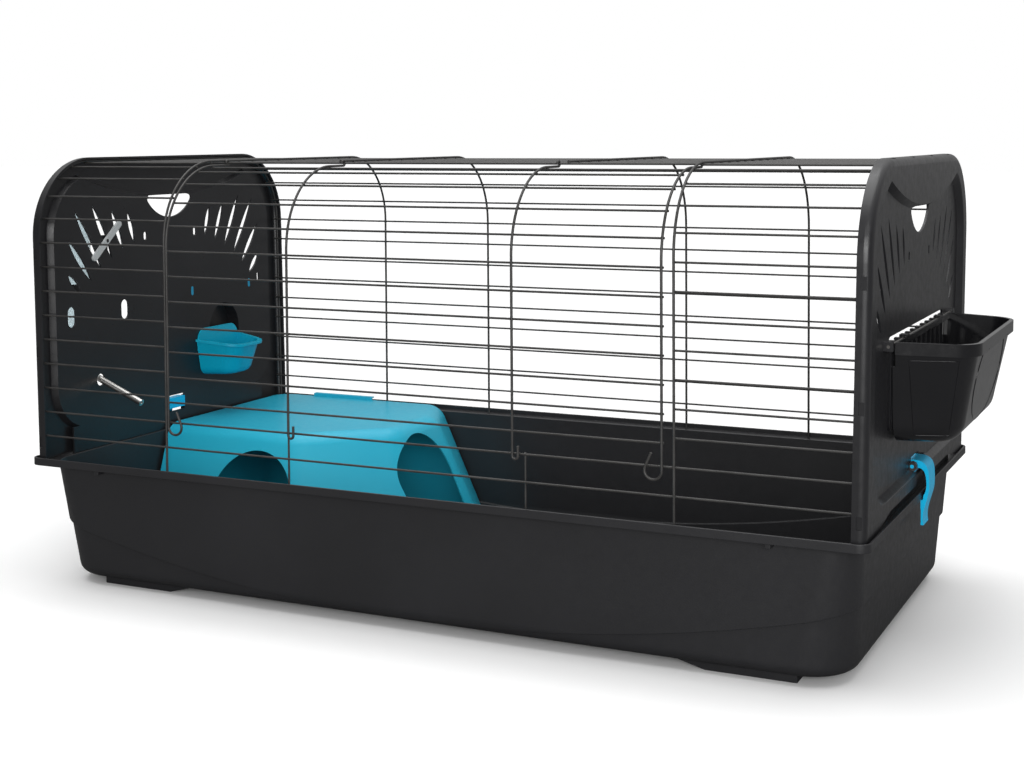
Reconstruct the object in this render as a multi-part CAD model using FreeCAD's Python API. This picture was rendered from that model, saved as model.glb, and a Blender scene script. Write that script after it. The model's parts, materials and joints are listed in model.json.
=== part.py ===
import FreeCAD, Part
import math
import os

# A small animal cage: a moulded tray, a welded wire hood between two moulded end panels, a wide wire
# door in the front, two clips, a hay rack, a hung food bowl, a drinking bottle and a hide house.
# Millimetres. X runs along the cage, Y from front to back, Z up from the floor. The origin is the
# centre of the tray's footprint on the floor. Pieces of the ends are drawn on the right hand side
# (+X) and mirrored where they belong to the left.

os.makedirs("parts", exist_ok=True)
Vector = FreeCAD.Vector
overrun = 1.0                   # how far a cut runs past the face that it opens

# Tray
tray_length = 1000.0
tray_depth = 525.0
rim_top = 152.5                 # the rim lip's top edge above the floor
foot_height = 9.0
lip_height = 9.0
lip_thickness = 2.5
ledge_drop = 6.0                # the ledge that carries the hood lies this far below the lip's top
rim_corner_radius = 12.0
tray_wall = 2.5
wall_inset_top = 14.0           # the wall's outer face, inwards of the lip's outer face
wall_inset_bottom = 22.0
wall_corner_top = 30.0
wall_corner_bottom = 58.0
bottom_round = 18.0
step_recess = 3.0               # below the moulded step the wall lies this much further in
step_end_drop = 75.0            # the step lies this far under the rim at the ends of the front
step_sagitta = 64.0
step_half_chord = 476.0
foot_flat = 94.0
foot_ramp = 33.0
foot_width = 102.0
foot_end_inset = 78.0
foot_side_inset = 40.0
lug_width = 6.0
lug_drop = 5.0
lug_end_inset = 97.0

# Wire hood
hoop_radius = 1.4
bar_radius = 1.15
wire_gap = 0.3                  # free space between the wires and the panel's flange
bar_end_gap = 1.5               # free space between a bar's end and the panel
first_bar_height = 24.7         # the lowest front bar above the rim
last_bar_height = 27.7          # the lowest back bar above the rim
bar_count = 38                  # lengthwise bars, evenly spaced over the front, the top and the back
hinge_bar_index = 14            # the bar that the door turns on, counted from the front
sill_bar_count = 2
bar_overhang = 1.5              # a bar's end stands this far past the wire that it is welded to
hood_hoop_x = 306.5
back_hoop_x = 144.0
end_hoop_inset = 9.5            # the end hoop stands inside the flange, this far inwards of its face

# End panels
panel_side_inset = 7.0          # from the rim's long side to the panel
panel_height = 355.2            # above the rim
panel_corner = 95.0
panel_wall = 2.5
panel_edge_round = 8.0
flange_depth = 14.0
panel_end_inset = 4.5           # the panel's outer face, inwards of the lip's outer face
panel_lean = 1.0                # degrees that each end panel leans outwards
foot_clearance = 0.3            # between the panel's foot and the ledge
field_depth = 7.0               # the recessed field inside the panel's border
field_slope = 5.0
field_border = 26.5             # width of the border beside the field
border_round = 2.0              # rounding of the border's inner edge
field_bottom = 20.0
field_top = 337.0
field_top_corner = 78.0
field_bottom_corner = 56.0
crest_low = 304.5               # the border's bulge above the hand hole, at its lowest point
crest_radius = 543.0
hand_hole_top = 303.5
hand_hole_drop = 29.5
hand_hole_radius = 58.6
hand_hole_corner = 5.0
fan_centre_height = -7.0
fan_start_radius = 262.0
fan_first_angle = 16.6          # degrees from upright
fan_step_angle = 5.2
fan_lengths = (43.0, 57.0, 80.0, 92.0, 68.0, 36.0)
fan_slot_width = 8.6
eye_hole_y = 52.5
eye_hole_z = 251.5
eye_hole_width = 7.0
eye_hole_length = 11.0
lock_hole_heights = (17.6, 124.8, 241.4)
lock_hole_width = 5.5
lock_hole_length = 13.0
lock_hole_depth = 1.7
top_slot_pitch = 96.0
top_slot_count = 4
top_slot_width = 5.0
top_slot_length = 14.0
edge_rise = 7.5                 # between its two feet the border's lower edge stands this far above the rim
edge_foot = 15.0                # width of each foot
edge_ramp = 90.0                # length of the slope from a foot up to the raised edge
skirt_half_width = 200.0        # the wall behind the raised edge
skirt_overlap = 6.0

# Clips
clip_width = 34.0
clip_slot_side = 6.0            # free space beside the clip in the border's slot
clip_slot_top = 43.0
clip_pin_radius = 2.0
clip_pin_gap = 0.05
clip_pin_height = 28.0          # above the rim
clip_hole_side = 2.0            # free space beside the clip's block in the inner wall
clip_hole_bottom = 15.0
clip_hole_top = 36.0
clip_pin_inset = 4.0            # inwards of the panel's outer face
clip_ear_thickness = 6.0
clip_ear_radius = 5.0
clip_thickness = 3.0
clip_block_depth = 8.0
clip_block_height = 14.0
clip_bow_reach = 7.2            # the strap's furthest point outwards of the lip
clip_waist_reach = 4.5
clip_tip_reach = 1.9
clip_tip_drop = 37.0            # the strap's tip under the rim's top
clip_tip_width = 26.0
nose_gap = 0.8                  # between the lip's lower edge and the clip's nose

# Hay rack
window_half_width = 143.0
window_bottom = 84.0
window_top = 178.0
window_corner = 8.0
comb_bar_width = 8.0
comb_pitch = 26.0
comb_bar_count = 11
comb_rail_height = 9.0
comb_thickness = 5.6
comb_top_gap = 4.0
rod_radius = 1.6
rod_half_length = 166.0
rod_height = 172.0
rod_fit = 0.05
rod_ear_size = 9.0
rod_ear_thickness = 6.0
bin_top = 174.0
bin_bottom = 70.0
bin_half_width = 143.0
bin_front_half_width = 126.0
bin_bottom_half_width = 128.0
bin_bottom_front_half_width = 104.0
bin_reach = 75.0                # outwards of the panel's outer face, at the top
bin_bottom_reach = 56.0
bin_front_round = 30.0
bin_bottom_round = 24.0
bin_wall = 2.4
bin_band_height = 12.5
bin_band_stand = 2.0
bin_back_gap = 0.5
hook_width = 12.0
hook_offset = 91.0
hook_wall = 2.0
hook_gap = 0.5
hook_leg = 7.0

# Food bowl and the socket behind it
bowl_y = 96.0
bowl_top = 104.0
bowl_nose_drop = 8.0
bowl_bottom = 54.0
bowl_half_width = 47.0
bowl_front_half_width = 32.0
bowl_reach = 58.0
bowl_bottom_half_width = 38.0
bowl_bottom_front_half_width = 26.0
bowl_bottom_reach = 42.0
bowl_front_round = 26.0
bowl_bottom_round = 14.0
bowl_wall = 2.0
bowl_lip = 2.0
bowl_lip_height = 3.0
bowl_plate_rise = 14.0
bowl_plate_half_width = 45.0
bowl_plate_round = 16.0
bowl_gap = 0.4
bowl_hook_offset = 36.0
bowl_hook_width = 7.0
bowl_hook_height = 12.0
bowl_hook_top = 80.0
bowl_hook_travel = 12.0
socket_radius = 34.0
socket_y = 114.0
socket_height = 114.0
socket_bottom = 97.0
socket_depth = 16.0
peg_height = 171.0
peg_places = (43.5, 175.5)
peg_slot_width = 5.0
peg_slot_length = 12.0
peg_head = 2.0
spare_slot_y = 198.5
spare_slot_z = 178.0

# Drinking bottle, holder and toggle
bottle_y = -147.5
bottle_reach = 44.0             # the bottle's axis outwards of the rim's end
bottle_radius = 33.0
bottle_height = 176.0
bottle_bottom = 126.0
bottle_wall = 1.6
bottle_shoulder = 16.0
neck_radius = 14.0
neck_height = 16.0
cap_radius = 17.5
cap_height = 19.5
cap_wall = 2.0
seal_thickness = 2.0
spout_radius = 4.0
spout_bore = 2.6
spout_slope = 22.0              # degrees below level, towards the inside
spout_bend_radius = 12.0
spout_hole_height = 77.0
spout_hole_radius = 7.5
spout_inside_length = 66.0
spout_tip_length = 4.0
spout_mouth = 2.1
oval_height = 160.5
oval_offset = 50.0
oval_width = 14.0
oval_length = 25.0
band_height = 14.0
band_thickness = 2.5
band_gap = 0.4
band_level = 183.0              # the band's lower edge above the rim
holder_post_width = 14.0
toggle_y = -131.0
toggle_z = 250.0
toggle_length = 70.0
toggle_width = 8.0
toggle_thickness = 3.0
toggle_angle = 40.0             # degrees above level, rising to the back
toggle_pin_radius = 2.5

# Front door
door_outer_x = 298.5
door_inner_x = 136.2
door_side_play = 4.5            # the door hangs this far to the left of the middle
door_stand_off = 0.6            # the door's wires stand this far in front of the hood's
hinge_eye_gap = 0.4
door_latch_bottom = 39.0        # above the rim
door_latch_top = 67.0
door_latch_radius = 9.0
door_hook_bottom = 47.0
door_hook_top = 62.0
door_hook_radius = 3.2
latch_lean = 24.0               # degrees that a latch loop's free leg leans back

# Hide house
house_right = 317.0             # the roof's right edge, from the rim's left end
house_front = 284.0             # the roof's front edge, from the rim's back edge
house_chamfer_front_x = 96.0
house_chamfer_front_y = 84.0
house_chamfer_back_x = 42.0
house_chamfer_back_y = 94.0
house_roof = 2.0                # above the rim
house_flare = 63.0              # the front and right walls spread this much from the roof to the floor
house_round = 26.0
house_edge_round = 50.0
house_gap = 0.8                 # between the house and the tray's wall
house_wall = 2.2
house_floor_gap = 0.3
doorway_radius = 59.0
front_doorway_x = 168.5         # from the rim's left end
front_doorway_top = -21.0       # above the rim
side_doorway_back = 164.0       # from the rim's back edge
side_doorway_top = -10.0
tab_x = 126.0
tab_width = 97.0
tab_reach = 5.0
tab_rise = 4.5
tab_thickness = 1.5

# Sizes worked out from the ones above
half_length = tray_length / 2
half_depth = tray_depth / 2
panel_half_width = half_depth - panel_side_inset
field_half_width = panel_half_width - field_border
ledge_top = rim_top - ledge_drop
panel_face = half_length - panel_end_inset
field_face = panel_face - field_depth
field_inner = field_face - panel_wall
wire_in = panel_wall + wire_gap + hoop_radius
hoop_half = panel_half_width - wire_in
hoop_top = rim_top + panel_height - wire_in
hoop_corner = panel_corner - wire_in
crossing = hoop_radius + bar_radius
bar_half = hoop_half - crossing
bar_top = hoop_top - crossing
bar_corner = hoop_corner - crossing
end_hoop_x = panel_face - end_hoop_inset
bar_end_x = panel_face - panel_wall - bar_end_gap
lean_slope = math.tan(math.radians(panel_lean))


def polygon_wire(points):
    """A closed wire through the points, with straight edges."""
    return Part.makePolygon(list(points) + [points[0]])


def prism(wire, direction):
    """The solid swept by a flat closed wire."""
    return Part.Face(wire).extrude(direction)


def cylinder_between(start, end, radius):
    """A round bar from one point to another."""
    axis = end.sub(start)
    return Part.makeCylinder(radius, axis.Length, start, axis)


def box_between(low, high):
    """A box from its low corner to its high corner."""
    size = high.sub(low)
    return Part.makeBox(size.x, size.y, size.z, low)


def rounded_edges(solid, radius, wanted):
    """The solid with every edge that wanted() picks rounded."""
    edges = [edge for edge in solid.Edges if wanted(edge)]
    return solid.makeFillet(radius, edges)


def edge_at(edge, coordinate, value):
    """True when the whole edge lies where one coordinate has the given value."""
    low = getattr(edge.BoundBox, coordinate + "Min")
    high = getattr(edge.BoundBox, coordinate + "Max")
    return abs(low - value) < wire_gap and abs(high - value) < wire_gap


def leaned(shape):
    """A piece of the right end, leaned outwards with its panel about the ledge."""
    turned = shape.copy()
    turned.rotate(Vector(panel_face, 0, ledge_top), Vector(0, 1, 0), panel_lean)
    return turned


def mirrored(shape):
    """The same piece for the other end of the cage."""
    return shape.mirror(Vector(0, 0, 0), Vector(1, 0, 0))


def rounded_rectangle(length, depth, radius, z):
    """A level rounded rectangle about the Z axis."""
    x, y = length / 2, depth / 2
    corners = []
    for sign_x, sign_y in ((1, 1), (-1, 1), (-1, -1), (1, -1)):
        corners.append((sign_x * (x - radius), sign_y * (y - radius)))
    edges = []
    for index, (centre_x, centre_y) in enumerate(corners):
        start = math.radians(90 * index)
        points = []
        for turn in (0, math.pi / 4, math.pi / 2):
            points.append(Vector(centre_x + radius * math.cos(start + turn),
                                 centre_y + radius * math.sin(start + turn), z))
        edges.append(Part.Arc(*points).toShape())
    sides = []
    for index in range(len(edges)):
        following = edges[(index + 1) % len(edges)]
        sides.append(edges[index])
        sides.append(Part.makeLine(edges[index].Vertexes[-1].Point, following.Vertexes[0].Point))
    return Part.Wire(sides)


def tray_block(inset, z_bottom, z_top, round_radius):
    """The tray's tapered body, drawn inwards by an inset, with a rounded lower edge."""
    span = rim_top - foot_height
    wires = []
    for z in (z_bottom, z_top):
        share = (rim_top - z) / span
        side = wall_inset_top + share * (wall_inset_bottom - wall_inset_top) + inset
        corner = wall_corner_top + share * (wall_corner_bottom - wall_corner_top) - inset
        wires.append(rounded_rectangle(tray_length - 2 * side, tray_depth - 2 * side, corner, z))
    block = Part.makeLoft(wires, True, True)
    if round_radius == 0:
        return block
    return rounded_edges(block, round_radius, lambda edge: edge_at(edge, "Z", z_bottom))


def step_cylinder(lift):
    """The room above the moulded step: a wide arc across the front, level at the ends."""
    radius = (step_half_chord ** 2 + step_sagitta ** 2) / (2 * step_sagitta)
    low = rim_top - step_end_drop - step_sagitta + lift
    start = Vector(0, -tray_depth, low + radius)
    return Part.makeCylinder(radius, 2 * tray_depth, start, Vector(0, 1, 0))


def tray_foot(side_x, side_y):
    """A moulded foot with a ramp towards the middle of the tray."""
    outer = half_length - foot_end_inset
    inner = outer - foot_flat
    top = 2 * foot_height
    outline = [Vector(outer, 0, 0), Vector(outer, 0, top), Vector(inner - foot_ramp, 0, top),
               Vector(inner - foot_ramp, 0, foot_height), Vector(inner, 0, 0)]
    foot = prism(polygon_wire(outline), Vector(0, foot_width, 0))
    foot.translate(Vector(0, half_depth - foot_side_inset - foot_width, 0))
    if side_x < 0:
        foot = foot.mirror(Vector(0, 0, 0), Vector(1, 0, 0))
    if side_y < 0:
        foot = foot.mirror(Vector(0, 0, 0), Vector(0, 1, 0))
    return foot


def stacking_lug(side_x, side_y):
    """A small rib under the rim between the lip and the wall."""
    outer = half_depth - lip_thickness
    inner = half_depth - wall_inset_top - tray_wall / 2
    x = side_x * (half_length - lug_end_inset)
    z = rim_top - lip_height
    low = Vector(x - lug_width / 2, min(side_y * inner, side_y * outer), z - lug_drop)
    high = Vector(x + lug_width / 2, max(side_y * inner, side_y * outer), z + tray_wall / 2)
    return box_between(low, high)


def tray():
    """The litter tray: tapered shell, moulded step, rim channel, feet and lugs."""
    underside = foot_height
    lip_bottom = rim_top - lip_height
    upper = tray_block(0, underside, lip_bottom, bottom_round)
    lower = tray_block(step_recess, underside, lip_bottom, bottom_round - step_recess)
    body = lower.fuse(upper.common(step_cylinder(0)))
    rim = prism(rounded_rectangle(tray_length, tray_depth, rim_corner_radius, lip_bottom),
                Vector(0, 0, lip_height))
    channel = prism(rounded_rectangle(tray_length - 2 * lip_thickness, tray_depth - 2 * lip_thickness,
                                      rim_corner_radius - lip_thickness, ledge_top),
                    Vector(0, 0, ledge_drop + overrun))
    body = body.fuse(rim.cut(channel))
    floor = underside + tray_wall
    hollow_round = bottom_round - tray_wall
    hollow = tray_block(tray_wall, floor, rim_top + overrun, hollow_round)
    low_hollow = tray_block(tray_wall + step_recess, floor, rim_top + overrun, hollow_round - step_recess)
    body = body.cut(low_hollow).cut(hollow.common(step_cylinder(tray_wall + step_recess)))
    for side_x in (1, -1):
        for side_y in (1, -1):
            foot = tray_foot(side_x, side_y)
            body = body.fuse(foot.cut(low_hollow))
            body = body.fuse(stacking_lug(side_x, side_y))
    return body.removeSplitter()


def arch_wire(half, bottom, top, corner, x):
    """An upright arch outline in the plane at x: straight sides and two round top corners."""
    diagonal = corner * (1 - math.sqrt(0.5))
    left_low, left_high = Vector(x, -half, bottom), Vector(x, -half, top - corner)
    left_mid, left_top = Vector(x, -half + diagonal, top - diagonal), Vector(x, -half + corner, top)
    right_low, right_high = Vector(x, half, bottom), Vector(x, half, top - corner)
    right_mid, right_top = Vector(x, half - diagonal, top - diagonal), Vector(x, half - corner, top)
    return Part.Wire([
        Part.makeLine(left_low, left_high),
        Part.Arc(left_high, left_mid, left_top).toShape(),
        Part.makeLine(left_top, right_top),
        Part.Arc(right_top, right_mid, right_high).toShape(),
        Part.makeLine(right_high, right_low),
        Part.makeLine(right_low, left_low)])


def field_wire(grow, x):
    """The recessed field's outline in the plane at x, grown by a margin."""
    half = field_half_width + grow
    bottom = rim_top + field_bottom - grow
    top = rim_top + field_top + grow
    radii = (field_bottom_corner + grow, field_top_corner + grow)
    middle = (bottom + top) / 2
    edges = []
    lower = arch_wire(half, middle, top, radii[1], x).Edges[:5]
    edges.extend(lower)
    diagonal = radii[0] * (1 - math.sqrt(0.5))
    right_start = Vector(x, half, middle)
    right_high = Vector(x, half, bottom + radii[0])
    right_mid = Vector(x, half - diagonal, bottom + diagonal)
    right_low = Vector(x, half - radii[0], bottom)
    left_low = Vector(x, -half + radii[0], bottom)
    left_mid = Vector(x, -half + diagonal, bottom + diagonal)
    left_high = Vector(x, -half, bottom + radii[0])
    edges.append(Part.makeLine(right_start, right_high))
    edges.append(Part.Arc(right_high, right_mid, right_low).toShape())
    edges.append(Part.makeLine(right_low, left_low))
    edges.append(Part.Arc(left_low, left_mid, left_high).toShape())
    edges.append(Part.makeLine(left_high, Vector(x, -half, middle)))
    return Part.Wire(edges)


def field_block(grow, x_deep, x_shallow, crest_grow):
    """The field as a sloped plug that ends under the border's crest."""
    plug = Part.makeLoft([field_wire(grow - field_slope, x_deep), field_wire(grow, x_shallow)], True, True)
    crest = Part.makeCone(crest_radius + field_slope - crest_grow, crest_radius - crest_grow,
                          x_shallow - x_deep, Vector(x_deep, 0, rim_top + crest_low + crest_radius),
                          Vector(1, 0, 0))
    return plug.cut(crest)


def slot_prism(y, z, width, length, depth_from, depth_to, across=False):
    """A slot with round ends through a panel, upright or lying."""
    radius = width / 2
    half = length / 2 - radius
    along = Vector(0, 1, 0) if across else Vector(0, 0, 1)
    side = Vector(0, 0, 1) if across else Vector(0, 1, 0)
    centre = Vector(depth_from, y, rim_top + z)
    corners = []
    for a, b in ((-1, -1), (1, -1), (1, 1), (-1, 1)):
        corners.append(centre + along * (a * half) + side * (b * radius))
    ends = [centre + along * (half + radius), centre - along * (half + radius)]
    wire = Part.Wire([
        Part.makeLine(corners[0], corners[1]),
        Part.Arc(corners[1], ends[0], corners[2]).toShape(),
        Part.makeLine(corners[2], corners[3]),
        Part.Arc(corners[3], ends[1], corners[0]).toShape()])
    return prism(wire, Vector(depth_to - depth_from, 0, 0))


def fan_slots(depth_from, depth_to):
    """The pointed slots that spread like a fan on both sides of the hand hole."""
    slots = []
    for side in (-1, 1):
        for index, length in enumerate(fan_lengths):
            angle = math.radians(fan_first_angle + fan_step_angle * index)
            along = Vector(0, side * math.sin(angle), math.cos(angle))
            across = Vector(0, side * math.cos(angle), -math.sin(angle))
            root = Vector(depth_from, 0, rim_top + fan_centre_height)
            start = root + along * fan_start_radius
            end = start + along * length
            middle = (start + end) * 0.5
            bulge = across * (fan_slot_width / 2)
            wire = Part.Wire([Part.Arc(start, middle + bulge, end).toShape(),
                              Part.Arc(end, middle - bulge, start).toShape()])
            slots.append(prism(wire, Vector(depth_to - depth_from, 0, 0)))
    return slots


def hand_hole(depth_from, depth_to):
    """The grip's opening: flat on top and round below."""
    top = rim_top + hand_hole_top
    centre = Vector(depth_from, 0, top - hand_hole_drop + hand_hole_radius)
    disc = Part.makeCylinder(hand_hole_radius, depth_to - depth_from, centre, Vector(1, 0, 0))
    half = Part.makeBox(depth_to - depth_from, 2 * hand_hole_radius, hand_hole_drop + overrun,
                        Vector(depth_from, -hand_hole_radius, top - hand_hole_drop - overrun))
    hole = disc.common(half)
    through = depth_to - depth_from - wire_gap
    return rounded_edges(hole, hand_hole_corner,
                         lambda edge: edge_at(edge, "Z", top) and edge.BoundBox.XLength > through)


def border_edge(edge):
    """True for the border's inner edge, except under its crest."""
    inside = abs(edge.CenterOfMass.y) < field_half_width + overrun
    high = edge.BoundBox.ZMax > rim_top + crest_low - overrun
    crest = high and abs(edge.CenterOfMass.y) < panel_half_width / 2
    level = edge.BoundBox.ZMin > rim_top + field_bottom / 2 and \
        edge.BoundBox.ZMax < rim_top + field_top + overrun
    return edge_at(edge, "X", panel_face) and inside and level and not crest


def raised_edge(bottom, shallow):
    """What is cut from the border's lower edge, between two feet with slopes."""
    foot, level = panel_half_width - edge_foot, bottom - overrun
    outline = [Vector(field_face, -foot, level), Vector(field_face, -foot + edge_ramp, rim_top + edge_rise),
               Vector(field_face, foot - edge_ramp, rim_top + edge_rise), Vector(field_face, foot, level)]
    return prism(polygon_wire(outline), Vector(shallow - field_face, 0, 0))


def skirt(bottom):
    """The wall that carries the field down to the tray's ledge."""
    return box_between(Vector(field_inner, -skirt_half_width, bottom),
                       Vector(field_face, skirt_half_width, rim_top + field_bottom + skirt_overlap))


def clip_openings(depth_from, depth_to):
    """The slot in the border for the clip's strap and the hole in the inner wall for its block."""
    half, block_half = clip_width / 2 + clip_slot_side, clip_width / 2 + clip_hole_side
    slot = box_between(Vector(field_face, -half, ledge_top - overrun),
                       Vector(depth_to, half, rim_top + clip_slot_top))
    hole = box_between(Vector(depth_from, -block_half, rim_top + clip_hole_bottom),
                       Vector(field_face + overrun, block_half, rim_top + clip_hole_top))
    return slot, hole


def clip_ears():
    """Two ears beside the slot with the holes for the clip's pins."""
    half = clip_width / 2 + clip_slot_side
    x, z = panel_face - clip_pin_inset, rim_top + clip_pin_height
    ears = []
    for side in (1, -1):
        start = Vector(x, side * half, z)
        end = Vector(x, side * (half + clip_ear_thickness), z)
        ears.append(cylinder_between(start, end, clip_ear_radius))
    return ears


def clip_pin_bore():
    """The bore that both ears share."""
    half = clip_width / 2 + clip_slot_side + clip_ear_thickness + overrun
    x, z = panel_face - clip_pin_inset, rim_top + clip_pin_height
    return cylinder_between(Vector(x, -half, z), Vector(x, half, z), clip_pin_radius + clip_pin_gap)


def plain_end_panel():
    """An end panel with what both ends have: border, flange, field, grip, fan of slots, clip ears."""
    bottom = ledge_top + foot_clearance
    top = rim_top + panel_height
    back = panel_face - flange_depth
    outer = prism(arch_wire(panel_half_width, bottom, top, panel_corner, back), Vector(flange_depth, 0, 0))

    def rims(x):
        return lambda edge: edge_at(edge, "X", x) and \
            (edge.BoundBox.ZMin > rim_top or not edge_at(edge, "Z", edge.BoundBox.ZMin))

    outer = rounded_edges(outer, panel_edge_round, rims(panel_face))
    low = bottom - 2 * panel_edge_round
    inner = prism(arch_wire(panel_half_width - panel_wall, low, top - panel_wall,
                            panel_corner - panel_wall, back - overrun),
                  Vector(flange_depth - panel_wall + overrun, 0, 0))
    inner = rounded_edges(inner, panel_edge_round - panel_wall, rims(panel_face - panel_wall))
    panel = outer.cut(inner)
    plateau = field_block(panel_wall / 2, field_inner, panel_face - panel_wall / 2, panel_wall / 2)
    recess = field_block(0, field_face, panel_face, 0)
    panel = panel.fuse(plateau).cut(recess)
    panel = rounded_edges(panel, border_round, border_edge)
    deep, shallow = back - overrun, panel_face + overrun
    panel = panel.cut(raised_edge(bottom, shallow)).fuse(skirt(bottom))
    for ear in clip_ears():
        panel = panel.fuse(ear)
    for opening in clip_openings(deep, shallow):
        panel = panel.cut(opening)
    panel = panel.cut(clip_pin_bore())
    panel = panel.cut(hand_hole(deep, shallow))
    for slot in fan_slots(deep, shallow):
        panel = panel.cut(slot)
    for side in (1, -1):
        panel = panel.cut(slot_prism(side * eye_hole_y, eye_hole_z, eye_hole_width, eye_hole_length,
                                     deep, shallow))
    for hole in lock_holes() + top_slots():
        panel = panel.cut(hole)
    return panel


def lock_holes():
    """Small pockets in the flange, front and back, one above the other."""
    holes = []
    x = panel_face - flange_depth / 2
    for side in (1, -1):
        outer, inner = side * (panel_half_width + overrun), side * (panel_half_width - lock_hole_depth)
        for height in lock_hole_heights:
            low = Vector(x - lock_hole_width / 2, min(outer, inner), rim_top + height - lock_hole_length / 2)
            high = Vector(x + lock_hole_width / 2, max(outer, inner),
                          rim_top + height + lock_hole_length / 2)
            holes.append(box_between(low, high))
    return holes


def top_slots():
    """The row of small openings along the top of the flange."""
    holes = []
    x = panel_face - flange_depth / 2
    z = rim_top + panel_height
    for index in range(top_slot_count):
        y = (index - (top_slot_count - 1) / 2) * top_slot_pitch
        holes.append(box_between(Vector(x - top_slot_width / 2, y - top_slot_length / 2, z - 2 * panel_wall),
                                 Vector(x + top_slot_width / 2, y + top_slot_length / 2, z + overrun)))
    return holes


def socket_outline(radius, x):
    """The feeding socket's arch, in the plane at x."""
    top = rim_top + socket_height
    low = rim_top + socket_bottom - (radius - socket_radius)
    left_low, left = Vector(x, socket_y - radius, low), Vector(x, socket_y - radius, top)
    right_low, right = Vector(x, socket_y + radius, low), Vector(x, socket_y + radius, top)
    crown = Vector(x, socket_y, top + radius)
    return Part.Wire([Part.makeLine(left_low, left), Part.Arc(left, crown, right).toShape(),
                      Part.makeLine(right, right_low), Part.makeLine(right_low, left_low)])


def left_end_panel():
    """The left panel: ovals and spout hole for the bottle, socket and slots for the bowl."""
    panel = plain_end_panel()
    deep, shallow = field_inner - overrun, panel_face + overrun
    shell = prism(socket_outline(socket_radius + panel_wall, field_inner + panel_wall),
                  Vector(socket_depth, 0, 0))
    hollow = prism(socket_outline(socket_radius, deep), Vector(socket_depth + overrun, 0, 0))
    panel = panel.fuse(shell).cut(hollow)
    for side in (1, -1):
        panel = panel.cut(slot_prism(bottle_y + side * oval_offset, oval_height, oval_width, oval_length,
                                     deep, shallow))
        panel = panel.cut(bowl_hook_slot(side))
    for y in peg_places:
        panel = panel.cut(slot_prism(y, peg_height, peg_slot_width, peg_slot_length, deep, shallow))
    panel = panel.cut(slot_prism(spare_slot_y, spare_slot_z, peg_slot_width, peg_slot_length, deep, shallow))
    hole = Part.makeCylinder(spout_hole_radius, shallow - deep,
                             Vector(deep, bottle_y, rim_top + spout_hole_height), Vector(1, 0, 0))
    panel = panel.cut(hole)
    return mirrored(leaned(panel.removeSplitter()))


def bowl_hook_slot(side):
    """The slot behind the bowl that one of its hooks hangs in."""
    y = bowl_y + side * bowl_hook_offset
    half = bowl_hook_width / 2 + bowl_gap
    top = rim_top + bowl_hook_top
    return box_between(Vector(field_inner - overrun, y - half, top - bowl_hook_height),
                       Vector(panel_face + overrun, y + half, top + bowl_hook_travel))


def rod_ears():
    """Two small ears on the field that hold the hay rack's rod."""
    ears = []
    for side in (1, -1):
        y = side * (rod_half_length - rod_ear_thickness / 2)
        z = rim_top + rod_height
        low = Vector(field_face - panel_wall / 2, y - rod_ear_thickness / 2, z - rod_ear_size / 2)
        high = Vector(rod_x() + rod_ear_size / 2, y + rod_ear_thickness / 2, z + rod_ear_size / 2)
        ears.append(box_between(low, high))
    return ears


def rod_x():
    """The rod's axis lies on the comb's outer face."""
    return field_inner + comb_thickness + rod_radius


def window_block(shrink, depth_from, depth_to):
    """The hay window's room, or what fits in it when shrunk."""
    low = Vector(depth_from, -window_half_width + shrink, rim_top + window_bottom + shrink)
    high = Vector(depth_to, window_half_width - shrink, rim_top + window_top - shrink)
    block = box_between(low, high)
    along_x = lambda edge: edge.BoundBox.XLength > depth_to - depth_from - wire_gap
    return rounded_edges(block, window_corner, along_x)


def right_end_panel():
    """The right panel: window and rod ears for the hay rack."""
    panel = plain_end_panel()
    for ear in rod_ears():
        panel = panel.fuse(ear)
    panel = panel.cut(window_block(0, field_inner - overrun, panel_face + overrun))
    bore = Part.makeCylinder(rod_radius + rod_fit, 2 * rod_half_length + 2 * overrun,
                             Vector(rod_x(), -rod_half_length - overrun, rim_top + rod_height),
                             Vector(0, 1, 0))
    return leaned(panel.cut(bore).removeSplitter())


def hay_grille():
    """A comb of upright bars in the window, joined by a rail below."""
    depth_from, depth_to = field_inner, field_inner + comb_thickness
    plate = window_block(0, depth_from, depth_to)
    top = rim_top + window_top
    plate = plate.cut(box_between(Vector(depth_from - overrun, -tray_depth, top - comb_top_gap),
                                  Vector(depth_to + overrun, tray_depth, top + overrun)))
    gap_half = (comb_pitch - comb_bar_width) / 2
    gap_low = rim_top + window_bottom + comb_rail_height
    for index in range(comb_bar_count + 1):
        y = (index - comb_bar_count / 2) * comb_pitch
        edge = window_half_width - comb_bar_width / 2
        low, high = max(y - gap_half, -edge), min(y + gap_half, edge)
        if high - low > comb_bar_width / 2:
            plate = plate.cut(box_between(Vector(depth_from - overrun, low, gap_low),
                                          Vector(depth_to + overrun, high, top + overrun)))
    return leaned(plate)


def hay_rod():
    """The metal rod across the window that the bin hangs on."""
    rod = Part.makeCylinder(rod_radius, 2 * rod_half_length,
                            Vector(rod_x(), -rod_half_length, rim_top + rod_height), Vector(0, 1, 0))
    return leaned(rod)


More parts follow.
